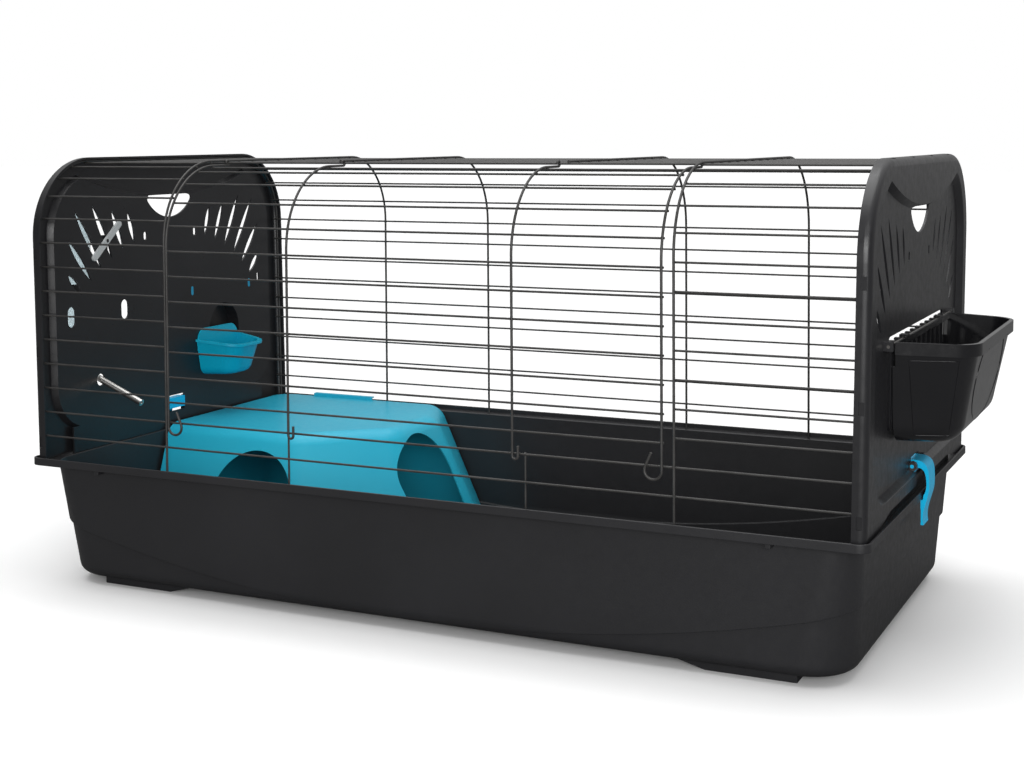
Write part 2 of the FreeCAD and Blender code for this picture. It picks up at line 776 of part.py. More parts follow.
def pocket_block(places, z_top, z_bottom, x_back, direction, front_round, bottom_round_radius):
    """A tapered pocket: straight back, narrower front, rounded front corners and lower edges.

    places holds the back's half width, the front's half width and the reach, at the top and below."""
    wires = []
    for z, (back, front, reach) in ((z_top, places[0]), (z_bottom, places[1])):
        x_front = x_back + direction * reach
        wires.append(polygon_wire([Vector(x_back, -back, z), Vector(x_front, -front, z),
                                   Vector(x_front, front, z), Vector(x_back, back, z)]))
    block = Part.makeLoft(wires, True, True)
    reach_least = min(places[0][2], places[1][2])
    height = z_top - z_bottom
    upright = lambda edge: edge.BoundBox.ZLength > height - wire_gap and \
        abs(edge.CenterOfMass.x - x_back) > reach_least / 2
    block = rounded_edges(block, front_round, upright)
    if bottom_round_radius:
        lower = lambda edge: edge_at(edge, "Z", z_bottom) and not edge_at(edge, "X", x_back)
        block = rounded_edges(block, bottom_round_radius, lower)
    return block


def hay_bin():
    """The bin: a tapered pocket with a band round its rim and two hooks over the rod."""
    x_back = field_inner + comb_thickness + bin_back_gap
    reach_top = bin_reach + panel_face - x_back
    reach_low = bin_bottom_reach + panel_face - x_back
    z_top, z_low = rim_top + bin_top, rim_top + bin_bottom
    shell_places = ((bin_half_width, bin_front_half_width, reach_top),
                    (bin_bottom_half_width, bin_bottom_front_half_width, reach_low))
    body = pocket_block(shell_places, z_top, z_low, x_back, 1, bin_front_round, bin_bottom_round)
    hollow_places = tuple((back - bin_wall, front - bin_wall, reach - bin_wall + overrun)
                          for back, front, reach in shell_places)
    hollow = pocket_block(hollow_places, z_top, z_low + bin_wall, x_back - overrun, 1,
                          bin_front_round - bin_wall, bin_bottom_round - bin_wall)
    hollow = hollow.fuse(band_block(shell_places, -bin_wall, z_top, z_top + overrun, x_back - overrun))
    band = band_block(shell_places, bin_band_stand, z_top - bin_band_height, z_top, x_back)
    body = body.fuse(band).cut(hollow)
    notch_low = z_top - 2 * bin_band_height
    body = body.cut(box_between(Vector(x_back - overrun, -tray_depth, notch_low),
                                Vector(rod_x() + rod_radius + hook_gap, tray_depth, z_top + 2 * overrun)))
    for side in (1, -1):
        body = body.fuse(bin_hook(side, z_top))
    body = body.fuse(hook_beam(z_top))
    return leaned(body.removeSplitter())


def band_block(places, grow, z_low, z_high, x_back):
    """A level ring's outside that follows the bin's mouth."""
    back, front, reach = places[0]
    place = (back + grow, front + grow, reach + grow)
    return pocket_block((place, place), z_high, z_low, x_back, 1, bin_front_round + grow, 0)


def hook_beam(z_top):
    """The beam across the bin's back that carries the hooks, just outside the rod."""
    x_low = rod_x() + rod_radius + hook_gap
    half = bin_half_width - bin_wall / 2
    return box_between(Vector(x_low, -half, z_top - bin_band_height / 2),
                       Vector(x_low + hook_wall, half, z_top))


def bin_hook(side, z_top):
    """A hook that lies over the rod, with a short leg behind it."""
    y_low, y_high = side * hook_offset - hook_width / 2, side * hook_offset + hook_width / 2
    x_outer = rod_x() + rod_radius + hook_gap
    x_inner = rod_x() - rod_radius - hook_gap
    z_rod = rim_top + rod_height + rod_radius + hook_gap
    bridge = box_between(Vector(x_inner - hook_wall, y_low, z_rod),
                         Vector(x_outer + hook_wall, y_high, z_rod + hook_wall))
    leg = box_between(Vector(x_inner - hook_wall, y_low, z_rod - hook_leg),
                      Vector(x_inner, y_high, z_rod + hook_wall))
    root = box_between(Vector(x_outer, y_low, z_top - bin_band_height / 2),
                       Vector(x_outer + hook_wall, y_high, z_rod + hook_wall))
    return bridge.fuse(leg).fuse(root)


def food_bowl():
    """The hung bowl: a pocket with a thick lip, a raised back plate and two hooks."""
    x_back = field_inner - bowl_gap
    z_top, z_low = rim_top + bowl_top, rim_top + bowl_bottom
    places = ((bowl_half_width, bowl_front_half_width, bowl_reach),
              (bowl_bottom_half_width, bowl_bottom_front_half_width, bowl_bottom_reach))
    body = pocket_block(places, z_top, z_low, x_back, -1, bowl_front_round, bowl_bottom_round)
    lip_place = tuple(size + bowl_lip for size in places[0])
    lip = pocket_block((lip_place, lip_place), z_top, z_top - bowl_lip_height - bowl_nose_drop, x_back, -1,
                       bowl_front_round + bowl_lip, 0)
    lip = lip.cut(nose_wedge(z_top - bowl_lip_height, -1))
    inner = tuple(tuple(size - bowl_wall for size in place) for place in places)
    hollow = pocket_block(((inner[0][0], inner[0][1], inner[0][2] - bowl_wall),
                           (inner[1][0], inner[1][1], inner[1][2] - bowl_wall)),
                          z_top, z_low + bowl_wall, x_back - bowl_wall, -1,
                          bowl_front_round - bowl_wall, bowl_bottom_round - bowl_wall)
    body = body.fuse(lip).cut(hollow).cut(nose_wedge(z_top, 1))
    plate = box_between(Vector(x_back - bowl_wall, -bowl_plate_half_width, z_top - bowl_plate_round),
                        Vector(x_back, bowl_plate_half_width, z_top + bowl_plate_rise))
    body = body.fuse(rounded_edges(plate, bowl_plate_round, lambda edge: edge.BoundBox.ZMin > z_top
                                   and edge.BoundBox.YLength < overrun))
    for side in (1, -1):
        body = body.fuse(bowl_hook(side, x_back))
    body.translate(Vector(0, bowl_y, 0))
    return mirrored(leaned(body.removeSplitter()))


def nose_wedge(z, side):
    """What lies above (side 1) or below (side -1) a plane that falls towards the bowl's nose."""
    x_back = field_inner - bowl_gap
    x_front = x_back - bowl_reach
    slope = bowl_nose_drop / bowl_reach
    far, near = x_front - 2 * bowl_lip, x_back + overrun
    height = side * 4 * bowl_nose_drop
    outline = [Vector(near, 0, z + slope * overrun), Vector(far, 0, z - slope * (x_back - far)),
               Vector(far, 0, z + height), Vector(near, 0, z + height)]
    wedge = prism(polygon_wire(outline), Vector(0, 4 * bowl_half_width, 0))
    wedge.translate(Vector(0, -2 * bowl_half_width, 0))
    return wedge


def bowl_hook(side, x_back):
    """A hook behind the bowl: an arm through the panel's slot and a leg down outside it."""
    y = side * bowl_hook_offset
    half = bowl_hook_width / 2
    top = rim_top + bowl_hook_top
    arm_low = top - bowl_hook_height + bowl_gap
    outer = field_face + bowl_gap
    arm_top = arm_low + bowl_wall
    arm = box_between(Vector(x_back - bowl_wall, y - half, arm_low),
                      Vector(outer + bowl_wall, y + half, arm_top))
    leg = box_between(Vector(outer, y - half, arm_low - bowl_hook_height / 2),
                      Vector(outer + bowl_wall, y + half, arm_top))
    return arm.fuse(leg)


def slot_pegs():
    """Two pegs that fill the small slots above the bowl, with a head outside."""
    pegs = []
    for y in peg_places:
        body = slot_prism(y, peg_height, peg_slot_width - 2 * rod_fit, peg_slot_length - 2 * rod_fit,
                          field_inner, field_face)
        head = slot_prism(y, peg_height, peg_slot_width + 2 * peg_head, peg_slot_length + 2 * peg_head,
                          field_face, field_face + peg_head)
        pegs.append(mirrored(leaned(body.fuse(head))))
    return Part.makeCompound(pegs)


def clip():
    """The locking clip: a bowed strap with a nose under the lip, a block inside and two pins."""
    z0, lip_x = rim_top, half_length
    pin_x, pin_z = panel_face - clip_pin_inset, z0 + clip_pin_height
    block_top = pin_z + clip_pin_radius + clip_thickness
    lip_low = z0 - lip_height
    bow_z, tip_x = z0 + lip_height + clip_thickness, lip_x + clip_tip_reach
    outer = [Vector(pin_x, 0, block_top),
             Vector(lip_x + clip_waist_reach, 0, pin_z - clip_thickness / 3),
             Vector(lip_x + clip_bow_reach, 0, bow_z),
             Vector(lip_x + clip_bow_reach, 0, z0 + clip_thickness / 2),
             Vector(lip_x + (clip_bow_reach + clip_tip_reach) / 2, 0, lip_low - clip_thickness / 2),
             Vector(tip_x, 0, lip_low - 4 * clip_thickness),
             Vector(tip_x, 0, z0 - clip_tip_drop)]
    inner = [Vector(tip_x - clip_thickness, 0, z0 - clip_tip_drop),
             Vector(tip_x - clip_thickness, 0, lip_low - 4 * clip_thickness),
             Vector(lip_x - clip_thickness / 2, 0, lip_low - 3 * clip_thickness),
             Vector(lip_x - clip_thickness / 2, 0, lip_low - nose_gap),
             Vector(lip_x + nose_gap, 0, lip_low - nose_gap)]
    rise = [Vector(lip_x + 2 * nose_gap, 0, z0 - lip_height / 2),
            Vector(lip_x + clip_bow_reach - clip_thickness, 0, z0 + clip_thickness),
            Vector(lip_x + clip_bow_reach - clip_thickness, 0, bow_z),
            Vector(lip_x + clip_waist_reach - clip_thickness, 0, pin_z - 2 * clip_thickness),
            Vector(pin_x, 0, pin_z - clip_pin_radius - clip_thickness / 2)]
    front = Part.BSplineCurve()
    front.interpolate(outer)
    back = Part.BSplineCurve()
    back.interpolate(rise)
    tip = Part.makePolygon([outer[-1]] + inner + [rise[0]])
    rest = [back.toShape(), Part.makeLine(rise[-1], outer[0])]
    strap = prism(Part.Wire([front.toShape()] + tip.Edges + rest),
                  Vector(0, clip_width, 0))
    strap.translate(Vector(0, -clip_width / 2, 0))
    strap = strap.common(clip_taper())
    block = box_between(Vector(pin_x - clip_block_depth, -clip_width / 2, block_top - clip_block_height),
                        Vector(pin_x, clip_width / 2, block_top))
    half = clip_width / 2 + clip_slot_side + clip_ear_thickness
    pins = cylinder_between(Vector(pin_x, -half, pin_z), Vector(pin_x, half, pin_z), clip_pin_radius)
    return leaned(strap.fuse(block).fuse(pins).removeSplitter())


def clip_taper():
    """The strap narrows from its top to its tip."""
    top, low = clip_width / 2 + overrun, clip_tip_width / 2
    z_top, z_low = rim_top + clip_slot_top, rim_top - clip_tip_drop - overrun
    x_back, x_front = panel_face - flange_depth, half_length + flange_depth
    outline = [Vector(x_back, -top, z_top), Vector(x_back, top, z_top),
               Vector(x_back, low, z_low), Vector(x_back, -low, z_low)]
    return prism(polygon_wire(outline), Vector(x_front - x_back, 0, 0))


def bar_place(index):
    """The centre of a lengthwise bar, counted from the lowest front bar, as (y, z)."""
    straight = bar_top - bar_corner - rim_top
    quarter = bar_corner * math.pi / 2
    flat = 2 * (bar_half - bar_corner)
    developed = 2 * straight + 2 * quarter + flat
    pitch = (developed - first_bar_height - last_bar_height) / (bar_count - 1)
    distance = first_bar_height + pitch * index
    mirrored_side = distance > developed / 2
    if mirrored_side:
        distance = developed - distance
    if distance <= straight:
        y, z = -bar_half, rim_top + distance
    elif distance <= straight + quarter:
        angle = (distance - straight) / bar_corner
        y = -bar_half + bar_corner * (1 - math.cos(angle))
        z = bar_top - bar_corner + bar_corner * math.sin(angle)
    else:
        y, z = -bar_half + bar_corner + distance - straight - quarter, bar_top
    return (-y, z) if mirrored_side else (y, z)


def bar_reach(z):
    """Half the length of a bar that runs from end to end at a height."""
    return bar_end_x + (z - ledge_top) * lean_slope


def full_bars(first, last):
    """Bars that run from end panel to end panel."""
    bars = []
    for index in range(first, last):
        y, z = bar_place(index)
        reach = bar_reach(z)
        bars.append(cylinder_between(Vector(-reach, y, z), Vector(reach, y, z), bar_radius))
    return Part.makeCompound(bars)


def front_side_bars(side):
    """Short bars of the front, between an end panel and the hoop beside the door."""
    bars = []
    for index in range(sill_bar_count, hinge_bar_index):
        y, z = bar_place(index)
        inner, outer = hood_hoop_x - bar_overhang, bar_reach(z)
        bars.append(cylinder_between(Vector(side * inner, y, z), Vector(side * outer, y, z), bar_radius))
    return Part.makeCompound(bars)


def wire_solid(edges, radius):
    """A bent wire along joined edges that follow each other smoothly."""
    path = Part.Wire(edges)
    start = edges[0].Vertexes[0].Point
    low, high = edges[0].FirstParameter, edges[0].LastParameter
    second = edges[0].valueAt(low + (high - low) / 100)
    profile = Part.Wire(Part.Circle(start, second.sub(start), radius).toShape())
    return path.makePipeShell([profile], True, True)


def hoop_edges(x, half, top, corner, foot_front, foot_back):
    """A hoop's centre line from the front foot over the top to the back foot."""
    diagonal = corner * (1 - math.sqrt(0.5))
    front_high, back_high = Vector(x, -half, top - corner), Vector(x, half, top - corner)
    front_top, back_top = Vector(x, -half + corner, top), Vector(x, half - corner, top)
    return [Part.makeLine(Vector(x, -half, foot_front), front_high),
            Part.Arc(front_high, Vector(x, -half + diagonal, top - diagonal), front_top).toShape(),
            Part.makeLine(front_top, back_top),
            Part.Arc(back_top, Vector(x, half - diagonal, top - diagonal), back_high).toShape(),
            Part.makeLine(back_high, Vector(x, half, foot_back))]


def end_hoop():
    """The hoop just inside an end panel's flange."""
    foot = ledge_top + foot_clearance
    edges = hoop_edges(end_hoop_x, hoop_half, hoop_top, hoop_corner, foot, foot)
    return leaned(wire_solid(edges, hoop_radius))


def hood_hoop(x):
    """A hoop beside the door, over the front, the top and the back."""
    return wire_solid(hoop_edges(x, hoop_half, hoop_top, hoop_corner, ledge_top, ledge_top), hoop_radius)


def back_hoop(x):
    """A hoop that starts on the hinge bar and runs down the back."""
    y_start = bar_place(hinge_bar_index)[0] - bar_radius
    edges = hoop_edges(x, hoop_half, hoop_top, hoop_corner, ledge_top, ledge_top)[2:]
    edges[0] = Part.makeLine(Vector(x, y_start, hoop_top), edges[1].Vertexes[0].Point)
    return wire_solid(edges, hoop_radius)


def sill_uprights():
    """Two short wires behind the sill bars, from the ledge up to the second bar."""
    wires = []
    y = bar_place(0)[0] + bar_radius + bar_radius
    top = bar_place(sill_bar_count - 1)[1] + bar_overhang
    for side in (1, -1):
        x = side * back_hoop_x
        wires.append(cylinder_between(Vector(x, y, ledge_top), Vector(x, y, top), bar_radius))
    return Part.makeCompound(wires)


def door_shift():
    """How far the door's wires lie in front of and below the hood's."""
    eye = bar_radius + hinge_eye_gap + hoop_radius
    drop = hoop_top - (bar_top - eye)
    return door_stand_off, drop


def door_hoop(x, tip_edges):
    """A door wire: an eye round the hinge bar, the top, the corner, the front and its shaped tip."""
    stand_off, drop = door_shift()
    half, top, corner = hoop_half + stand_off, hoop_top - drop, hoop_corner
    hinge_y = bar_place(hinge_bar_index)[0]
    eye = bar_radius + hinge_eye_gap + hoop_radius
    diagonal = corner * (1 - math.sqrt(0.5))
    eye_end, eye_mid = Vector(x, hinge_y - eye, bar_top), Vector(x, hinge_y + eye * math.sqrt(0.5),
                                                                 bar_top + eye * math.sqrt(0.5))
    eye_start = Vector(x, hinge_y, bar_top - eye)
    front_top, front_high = Vector(x, -half + corner, top), Vector(x, -half, top - corner)
    edges = [Part.Arc(eye_end, eye_mid, eye_start).toShape(), Part.makeLine(eye_start, front_top),
             Part.Arc(front_top, Vector(x, -half + diagonal, top - diagonal), front_high).toShape()]
    tip = tip_edges(x, -half)
    edges.append(Part.makeLine(front_high, tip[0].Vertexes[0].Point))
    return wire_solid(edges + tip, hoop_radius)


def tip_loop(x, y, side, bottom, top, radius, lean):
    """A loop at a door wire's lower end: half round towards one side and up in a leaning leg."""
    centre = Vector(x + side * radius, y, rim_top + bottom + hoop_radius + radius)
    turn = math.pi + math.radians(lean)

    def on_circle(angle):
        return centre + Vector(-side * radius * math.cos(angle), 0, -radius * math.sin(angle))

    start, middle, end = on_circle(0), on_circle(turn / 2), on_circle(turn)
    rise = rim_top + top - end.z
    tangent = Vector(-side * math.sin(math.radians(lean)), 0, math.cos(math.radians(lean)))
    leg_end = end + tangent * (rise / tangent.z)
    return [Part.Arc(start, middle, end).toShape(), Part.makeLine(end, leg_end)]


def door_outer_hoop(side):
    """An outer door wire, with its latch loop turned inwards."""
    x = side * door_outer_x - door_side_play
    tip = lambda x, y: tip_loop(x, y, -side, door_latch_bottom, door_latch_top, door_latch_radius,
                                latch_lean)
    return door_hoop(x, tip)


def door_inner_hoop(side):
    """An inner door wire, with a small upturned hook to the right."""
    x = side * door_inner_x - door_side_play
    tip = lambda x, y: tip_loop(x, y, 1, door_hook_bottom, door_hook_top, door_hook_radius, 0)
    return door_hoop(x, tip)


def door_bars():
    """The door's twelve lengthwise bars."""
    stand_off, drop = door_shift()
    reach = door_outer_x + bar_overhang
    bars = []
    for index in range(sill_bar_count, hinge_bar_index):
        y, z = bar_place(index)
        start = Vector(-reach - door_side_play, y - stand_off, z - drop)
        end = Vector(reach - door_side_play, y - stand_off, z - drop)
        bars.append(cylinder_between(start, end, bar_radius))
    return Part.makeCompound(bars)


def bottle_axis():
    """The bottle's upright axis, outwards of the rim's end."""
    return half_length + bottle_reach


def spout_exit():
    """Where the sloping part of the spout meets the bottle's axis."""
    x = bottle_axis()
    rise = (x - field_inner) * math.tan(math.radians(spout_slope))
    return Vector(x, bottle_y, rim_top + spout_hole_height + rise)


def bottle_body():
    """The hollow bottle with its shoulder and neck below."""
    x = bottle_axis()
    base = rim_top + bottle_bottom

    def outline(shrink):
        radius, neck = bottle_radius - shrink, neck_radius - shrink
        low = base - neck_height if shrink == 0 else base - neck_height - overrun
        top = base + bottle_height - shrink
        return [Vector(x, bottle_y, low), Vector(x + neck, bottle_y, low), Vector(x + neck, bottle_y, base),
                Vector(x + radius, bottle_y, base + bottle_shoulder), Vector(x + radius, bottle_y, top),
                Vector(x, bottle_y, top)]

    def turned(shrink):
        face = Part.Face(polygon_wire(outline(shrink)))
        return face.revolve(Vector(x, bottle_y, base), Vector(0, 0, 1), 360)

    def rounded(shrink):
        top = base + bottle_height - shrink
        return rounded_edges(turned(shrink), bottle_shoulder - shrink, lambda edge: edge_at(edge, "Z", top))

    return mirrored(rounded(0).cut(rounded(bottle_wall)))


def bottle_cap():
    """The screw cap over the neck, with ribs round it."""
    x = bottle_axis()
    neck_low = rim_top + bottle_bottom - neck_height
    low = neck_low - seal_thickness - cap_wall
    cap = Part.makeCylinder(cap_radius, cap_height, Vector(x, bottle_y, low))
    room = Part.makeCylinder(neck_radius, cap_height, Vector(x, bottle_y, low + cap_wall))
    cap = cap.cut(room)
    bore = Part.makeCylinder(spout_radius, 2 * cap_wall, Vector(x, bottle_y, low - cap_wall / 2))
    cap = cap.cut(bore)
    groove_count = 24
    for index in range(groove_count):
        angle = 2 * math.pi * index / groove_count
        centre = Vector(x + cap_radius * math.cos(angle), bottle_y + cap_radius * math.sin(angle),
                        low + cap_wall)
        cap = cap.cut(Part.makeCylinder(cap_wall / 3, cap_height, centre))
    return mirrored(cap)


def bottle_seal():
    """The flat ring between the neck and the cap."""
    x = bottle_axis()
    low = rim_top + bottle_bottom - neck_height - seal_thickness
    ring = Part.makeCylinder(neck_radius, seal_thickness, Vector(x, bottle_y, low))
    return mirrored(ring.cut(Part.makeCylinder(spout_radius, seal_thickness, Vector(x, bottle_y, low))))


def spout_path():
    """The spout's centre line, from inside the neck down, round the bend and in to its tip."""
    corner = spout_exit()
    angle = math.radians(spout_slope)
    inwards = Vector(-math.cos(angle), 0, -math.sin(angle))
    half_turn = (math.pi / 2 - angle) / 2
    setback = spout_bend_radius * math.tan(half_turn)
    bend_start = corner + Vector(0, 0, setback)
    bend_end = corner + inwards * setback
    bisector = Vector(0, 0, 1) + inwards
    bisector.normalize()
    centre = corner + bisector * (spout_bend_radius / math.cos(half_turn))
    bend_mid = centre - bisector * spout_bend_radius
    top = Vector(corner.x, corner.y, rim_top + bottle_bottom - neck_height)
    hole_run = (corner.x - field_inner) / math.cos(angle)
    tip = corner + inwards * (hole_run + spout_inside_length)
    return top, bend_start, bend_mid, bend_end, tip, inwards


def spout_tube():
    """The bent steel tube, narrowed at its tip to hold the ball."""
    top, bend_start, bend_mid, bend_end, tip, inwards = spout_path()
    edges = [Part.makeLine(top, bend_start), Part.Arc(bend_start, bend_mid, bend_end).toShape(),
             Part.makeLine(bend_end, tip)]
    outer = wire_solid(edges, spout_radius)
    last = Part.makeLine(bend_end, tip - inwards * spout_tip_length)
    inner = wire_solid(edges[:2] + [last], spout_bore)
    mouth = Part.makeCone(spout_bore, spout_mouth, spout_tip_length + overrun,
                          tip - inwards * spout_tip_length, inwards)
    return mirrored(outer.cut(inner).cut(mouth))


def spout_ball():
    """The steel ball that closes the spout, held loosely in its tip."""
    tip, inwards = spout_path()[4:]
    centre = tip - inwards * spout_tip_length
    return mirrored(Part.makeSphere(spout_bore - rod_fit, centre))


def bottle_holder():
    """The holder outside the panel: plate, post, band behind the bottle and the toggle's pin."""
    x = bottle_axis()
    back_x = field_face + band_gap
    low = rim_top + band_level
    ring_outer = bottle_radius + band_gap + band_thickness
    plate = box_between(Vector(back_x, bottle_y - ring_outer / 2, low),
                        Vector(back_x + band_thickness, bottle_y + ring_outer / 2, low + band_height))
    pin_z = rim_top + toggle_z
    post = box_between(Vector(back_x, toggle_y - holder_post_width / 2, low),
                       Vector(back_x + band_thickness, toggle_y + holder_post_width / 2,
                              pin_z + holder_post_width / 2))
    pin = cylinder_between(Vector(field_inner - band_gap - toggle_thickness, toggle_y, pin_z),
                           Vector(back_x + band_thickness / 2, toggle_y, pin_z), toggle_pin_radius)
    ring = Part.makeCylinder(ring_outer, band_height, Vector(x, bottle_y, low))
    ring = ring.cut(box_between(Vector(x, bottle_y - 2 * ring_outer, low - overrun),
                                Vector(x + 2 * ring_outer, bottle_y + 2 * ring_outer,
                                       low + band_height + overrun)))
    web = box_between(Vector(back_x, bottle_y - ring_outer / 2, low),
                      Vector(x, bottle_y + ring_outer / 2, low + band_height))
    room = Part.makeCylinder(bottle_radius + band_gap, 2 * bottle_height,
                             Vector(x, bottle_y, low - bottle_height / 2))
    holder = leaned(plate.fuse(post).fuse(pin).fuse(web)).fuse(ring).cut(room)
    return mirrored(holder.removeSplitter())


def holder_toggle():
    """The grey bar inside the panel that the holder's pin fastens."""
    angle = math.radians(toggle_angle)
    x = field_inner - toggle_thickness - band_gap
    centre = Vector(x, toggle_y, rim_top + toggle_z)
    along = Vector(0, math.cos(angle), math.sin(angle))
    across = Vector(0, -math.sin(angle), math.cos(angle))
    half, radius = (toggle_length - toggle_width) / 2, toggle_width / 2
    corners = [centre - along * half - across * radius, centre + along * half - across * radius,
               centre + along * half + across * radius, centre - along * half + across * radius]
    wire = Part.Wire([Part.makeLine(corners[0], corners[1]),
                      Part.Arc(corners[1], centre + along * (half + radius), corners[2]).toShape(),
                      Part.makeLine(corners[2], corners[3]),
                      Part.Arc(corners[3], centre - along * (half + radius), corners[0]).toShape()])
    bar = prism(wire, Vector(toggle_thickness, 0, 0))
    bore = cylinder_between(centre - Vector(overrun, 0, 0), centre + Vector(2 * toggle_thickness, 0, 0),
                            toggle_pin_radius)
    return mirrored(leaned(bar.cut(bore)))


def shifted_polygon(points, shifts):
    """Each side of a polygon moved outwards by its own distance, the corners found again."""
    count = len(points)
    lines = []
    for index in range(count):
        start, end = points[index], points[(index + 1) % count]
        length = math.hypot(end[0] - start[0], end[1] - start[1])
        direction = ((end[0] - start[0]) / length, (end[1] - start[1]) / length)
        normal = (direction[1], -direction[0])
        moved = (start[0] + normal[0] * shifts[index], start[1] + normal[1] * shifts[index])
        lines.append((moved, direction))
    corners = []
    for index in range(count):
        (ax, ay), (adx, ady) = lines[index - 1]
        (bx, by), (bdx, bdy) = lines[index]
        distance = ((bx - ax) * bdy - (by - ay) * bdx) / (adx * bdy - ady * bdx)
        corners.append((ax + adx * distance, ay + ady * distance))
    return corners


def house_block(inset, z_low, z_high, bottom_radius):
    """The house's outside, or its room when inset: walls that spread downwards, kept inside the tray."""
    left, back = -half_length, half_depth
    right, front = left + house_right, back - house_front
    roof = [(left, front), (right - house_chamfer_front_x, front), (right, front + house_chamfer_front_y),
            (right, back - house_chamfer_back_y), (right - house_chamfer_back_x, back), (left, back)]
    spread = [house_flare, house_flare, house_flare, house_flare, 0, 0]
    wires = []
    span = rim_top + house_roof - foot_height
    for z in (z_low, z_high):
        share = (rim_top + house_roof - z) / span
        shifts = [share * size - inset for size in spread]
        corners = shifted_polygon(roof, shifts)
        wires.append(polygon_wire([Vector(x, y, z) for x, y in corners]))
    block = Part.makeLoft(wires, True, True)
    height = z_high - z_low
    left_limit, back_limit = left + house_chamfer_front_x, back - house_chamfer_front_y
    upright = lambda edge: edge.BoundBox.ZLength > height - wire_gap and \
        edge.CenterOfMass.x > left_limit and edge.CenterOfMass.y < back_limit
    block = rounded_edges(block, house_edge_round - inset, upright)
    block = rounded_edges(block, house_round - inset, lambda edge: edge_at(edge, "Z", z_high)
                          and not edge_at(edge, "Y", back - inset) and not edge_at(edge, "X", left + inset))
    return block.common(tray_block(tray_wall + step_recess + house_gap + inset, z_low, z_high, bottom_radius))


def hide_house():
    """The hide house: a thin shell with two arched doorways and a tab over the tray's rim."""
    floor = foot_height + tray_wall + house_floor_gap
    roof = rim_top + house_roof
    shell = house_block(0, floor, roof, bottom_round - tray_wall - step_recess - house_gap)
    shell = shell.cut(house_block(house_wall, floor - overrun, roof - house_wall, 0))
    right, front = -half_length + house_right, half_depth - house_front
    front_x, front_z = -half_length + front_doorway_x, rim_top + front_doorway_top - doorway_radius
    reach = 2 * house_flare
    shell = shell.cut(doorway(Vector(front_x, front - house_flare, front_z), Vector(0, reach, 0), floor))
    side_y, side_z = half_depth - side_doorway_back, rim_top + side_doorway_top - doorway_radius
    shell = shell.cut(doorway(Vector(right - house_flare, side_y, side_z), Vector(reach, 0, 0), floor))
    x_low = -half_length + tab_x - tab_width / 2
    back = half_depth - wall_inset_top - tray_wall - step_recess - house_gap
    top = roof + tab_rise
    plate = box_between(Vector(x_low, back - house_wall, roof - house_wall),
                        Vector(x_low + tab_width, back, top))
    fold = box_between(Vector(x_low, back - house_wall, top - tab_thickness),
                       Vector(x_low + tab_width, back + tab_reach, top))
    return shell.fuse(plate).fuse(fold).removeSplitter()


def doorway(centre, reach, floor):
    """The cutting shape of a doorway: a half round on straight sides down to the floor."""
    disc = Part.makeCylinder(doorway_radius, reach.Length, centre, reach)
    across = Vector(0, 0, 1).cross(reach)
    across.normalize()
    corner = centre - across * doorway_radius
    low = Vector(corner.x, corner.y, floor - overrun)
    sides = [low, low + across * (2 * doorway_radius),
             Vector(centre.x, centre.y, centre.z) + across * doorway_radius, corner]
    return disc.fuse(prism(polygon_wire(sides), reach))


def build():
    """Every sub-part under its node's name."""
    right_clip = clip()
    return {
        "tray": tray(),
        "left_end_panel": left_end_panel(),
        "right_end_panel": right_end_panel(),
        "left_end_hoop": mirrored(end_hoop()),
        "right_end_hoop": end_hoop(),
        "left_hood_hoop": hood_hoop(-hood_hoop_x),
        "right_hood_hoop": hood_hoop(hood_hoop_x),
        "left_back_hoop": back_hoop(-back_hoop_x),
        "right_back_hoop": back_hoop(back_hoop_x),
        "hinge_bar": full_bars(hinge_bar_index, hinge_bar_index + 1),
        "top_bars": full_bars(hinge_bar_index + 1, bar_count - hinge_bar_index),
        "back_bars": full_bars(bar_count - hinge_bar_index, bar_count),
        "sill_bars": full_bars(0, sill_bar_count),
        "left_front_bars": front_side_bars(-1),
        "right_front_bars": front_side_bars(1),
        "sill_uprights": sill_uprights(),
        "door_left_outer_hoop": door_outer_hoop(-1),
        "door_right_outer_hoop": door_outer_hoop(1),
        "door_left_inner_hoop": door_inner_hoop(-1),
        "door_right_inner_hoop": door_inner_hoop(1),
        "door_bars": door_bars(),
        "left_clip": mirrored(right_clip),
        "right_clip": right_clip,
        "hay_bin": hay_bin(),
        "hay_grille": hay_grille(),
        "hay_rod": hay_rod(),
        "food_bowl": food_bowl(),
        "slot_pegs": slot_pegs(),
        "bottle_body": bottle_body(),
        "bottle_cap": bottle_cap(),
        "bottle_seal": bottle_seal(),
        "spout_tube": spout_tube(),
        "spout_ball": spout_ball(),
        "bottle_holder": bottle_holder(),
        "holder_toggle": holder_toggle(),
        "hide_house": hide_house(),
    }


for node, shape in build().items():
    shape.exportStep("parts/" + node + ".step")
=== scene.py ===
import json
import math

import bmesh
import bpy
from mathutils import Matrix, Vector
from mathutils.bvhtree import BVHTree


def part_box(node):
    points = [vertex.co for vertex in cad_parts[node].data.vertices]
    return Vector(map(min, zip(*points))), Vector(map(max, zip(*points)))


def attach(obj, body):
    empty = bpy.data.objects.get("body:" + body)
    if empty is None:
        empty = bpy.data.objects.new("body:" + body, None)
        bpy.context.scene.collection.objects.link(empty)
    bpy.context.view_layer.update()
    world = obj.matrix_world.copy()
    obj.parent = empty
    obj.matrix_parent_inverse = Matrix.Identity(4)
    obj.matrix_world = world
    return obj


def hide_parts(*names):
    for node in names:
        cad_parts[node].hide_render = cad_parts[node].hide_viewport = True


# A small animal cage: charcoal polypropylene tray and end panels, a powder-coated wire hood with a
# wide door, blue clips, bowl and hide house, a hay rack and a drinking bottle. Metres, Z up.

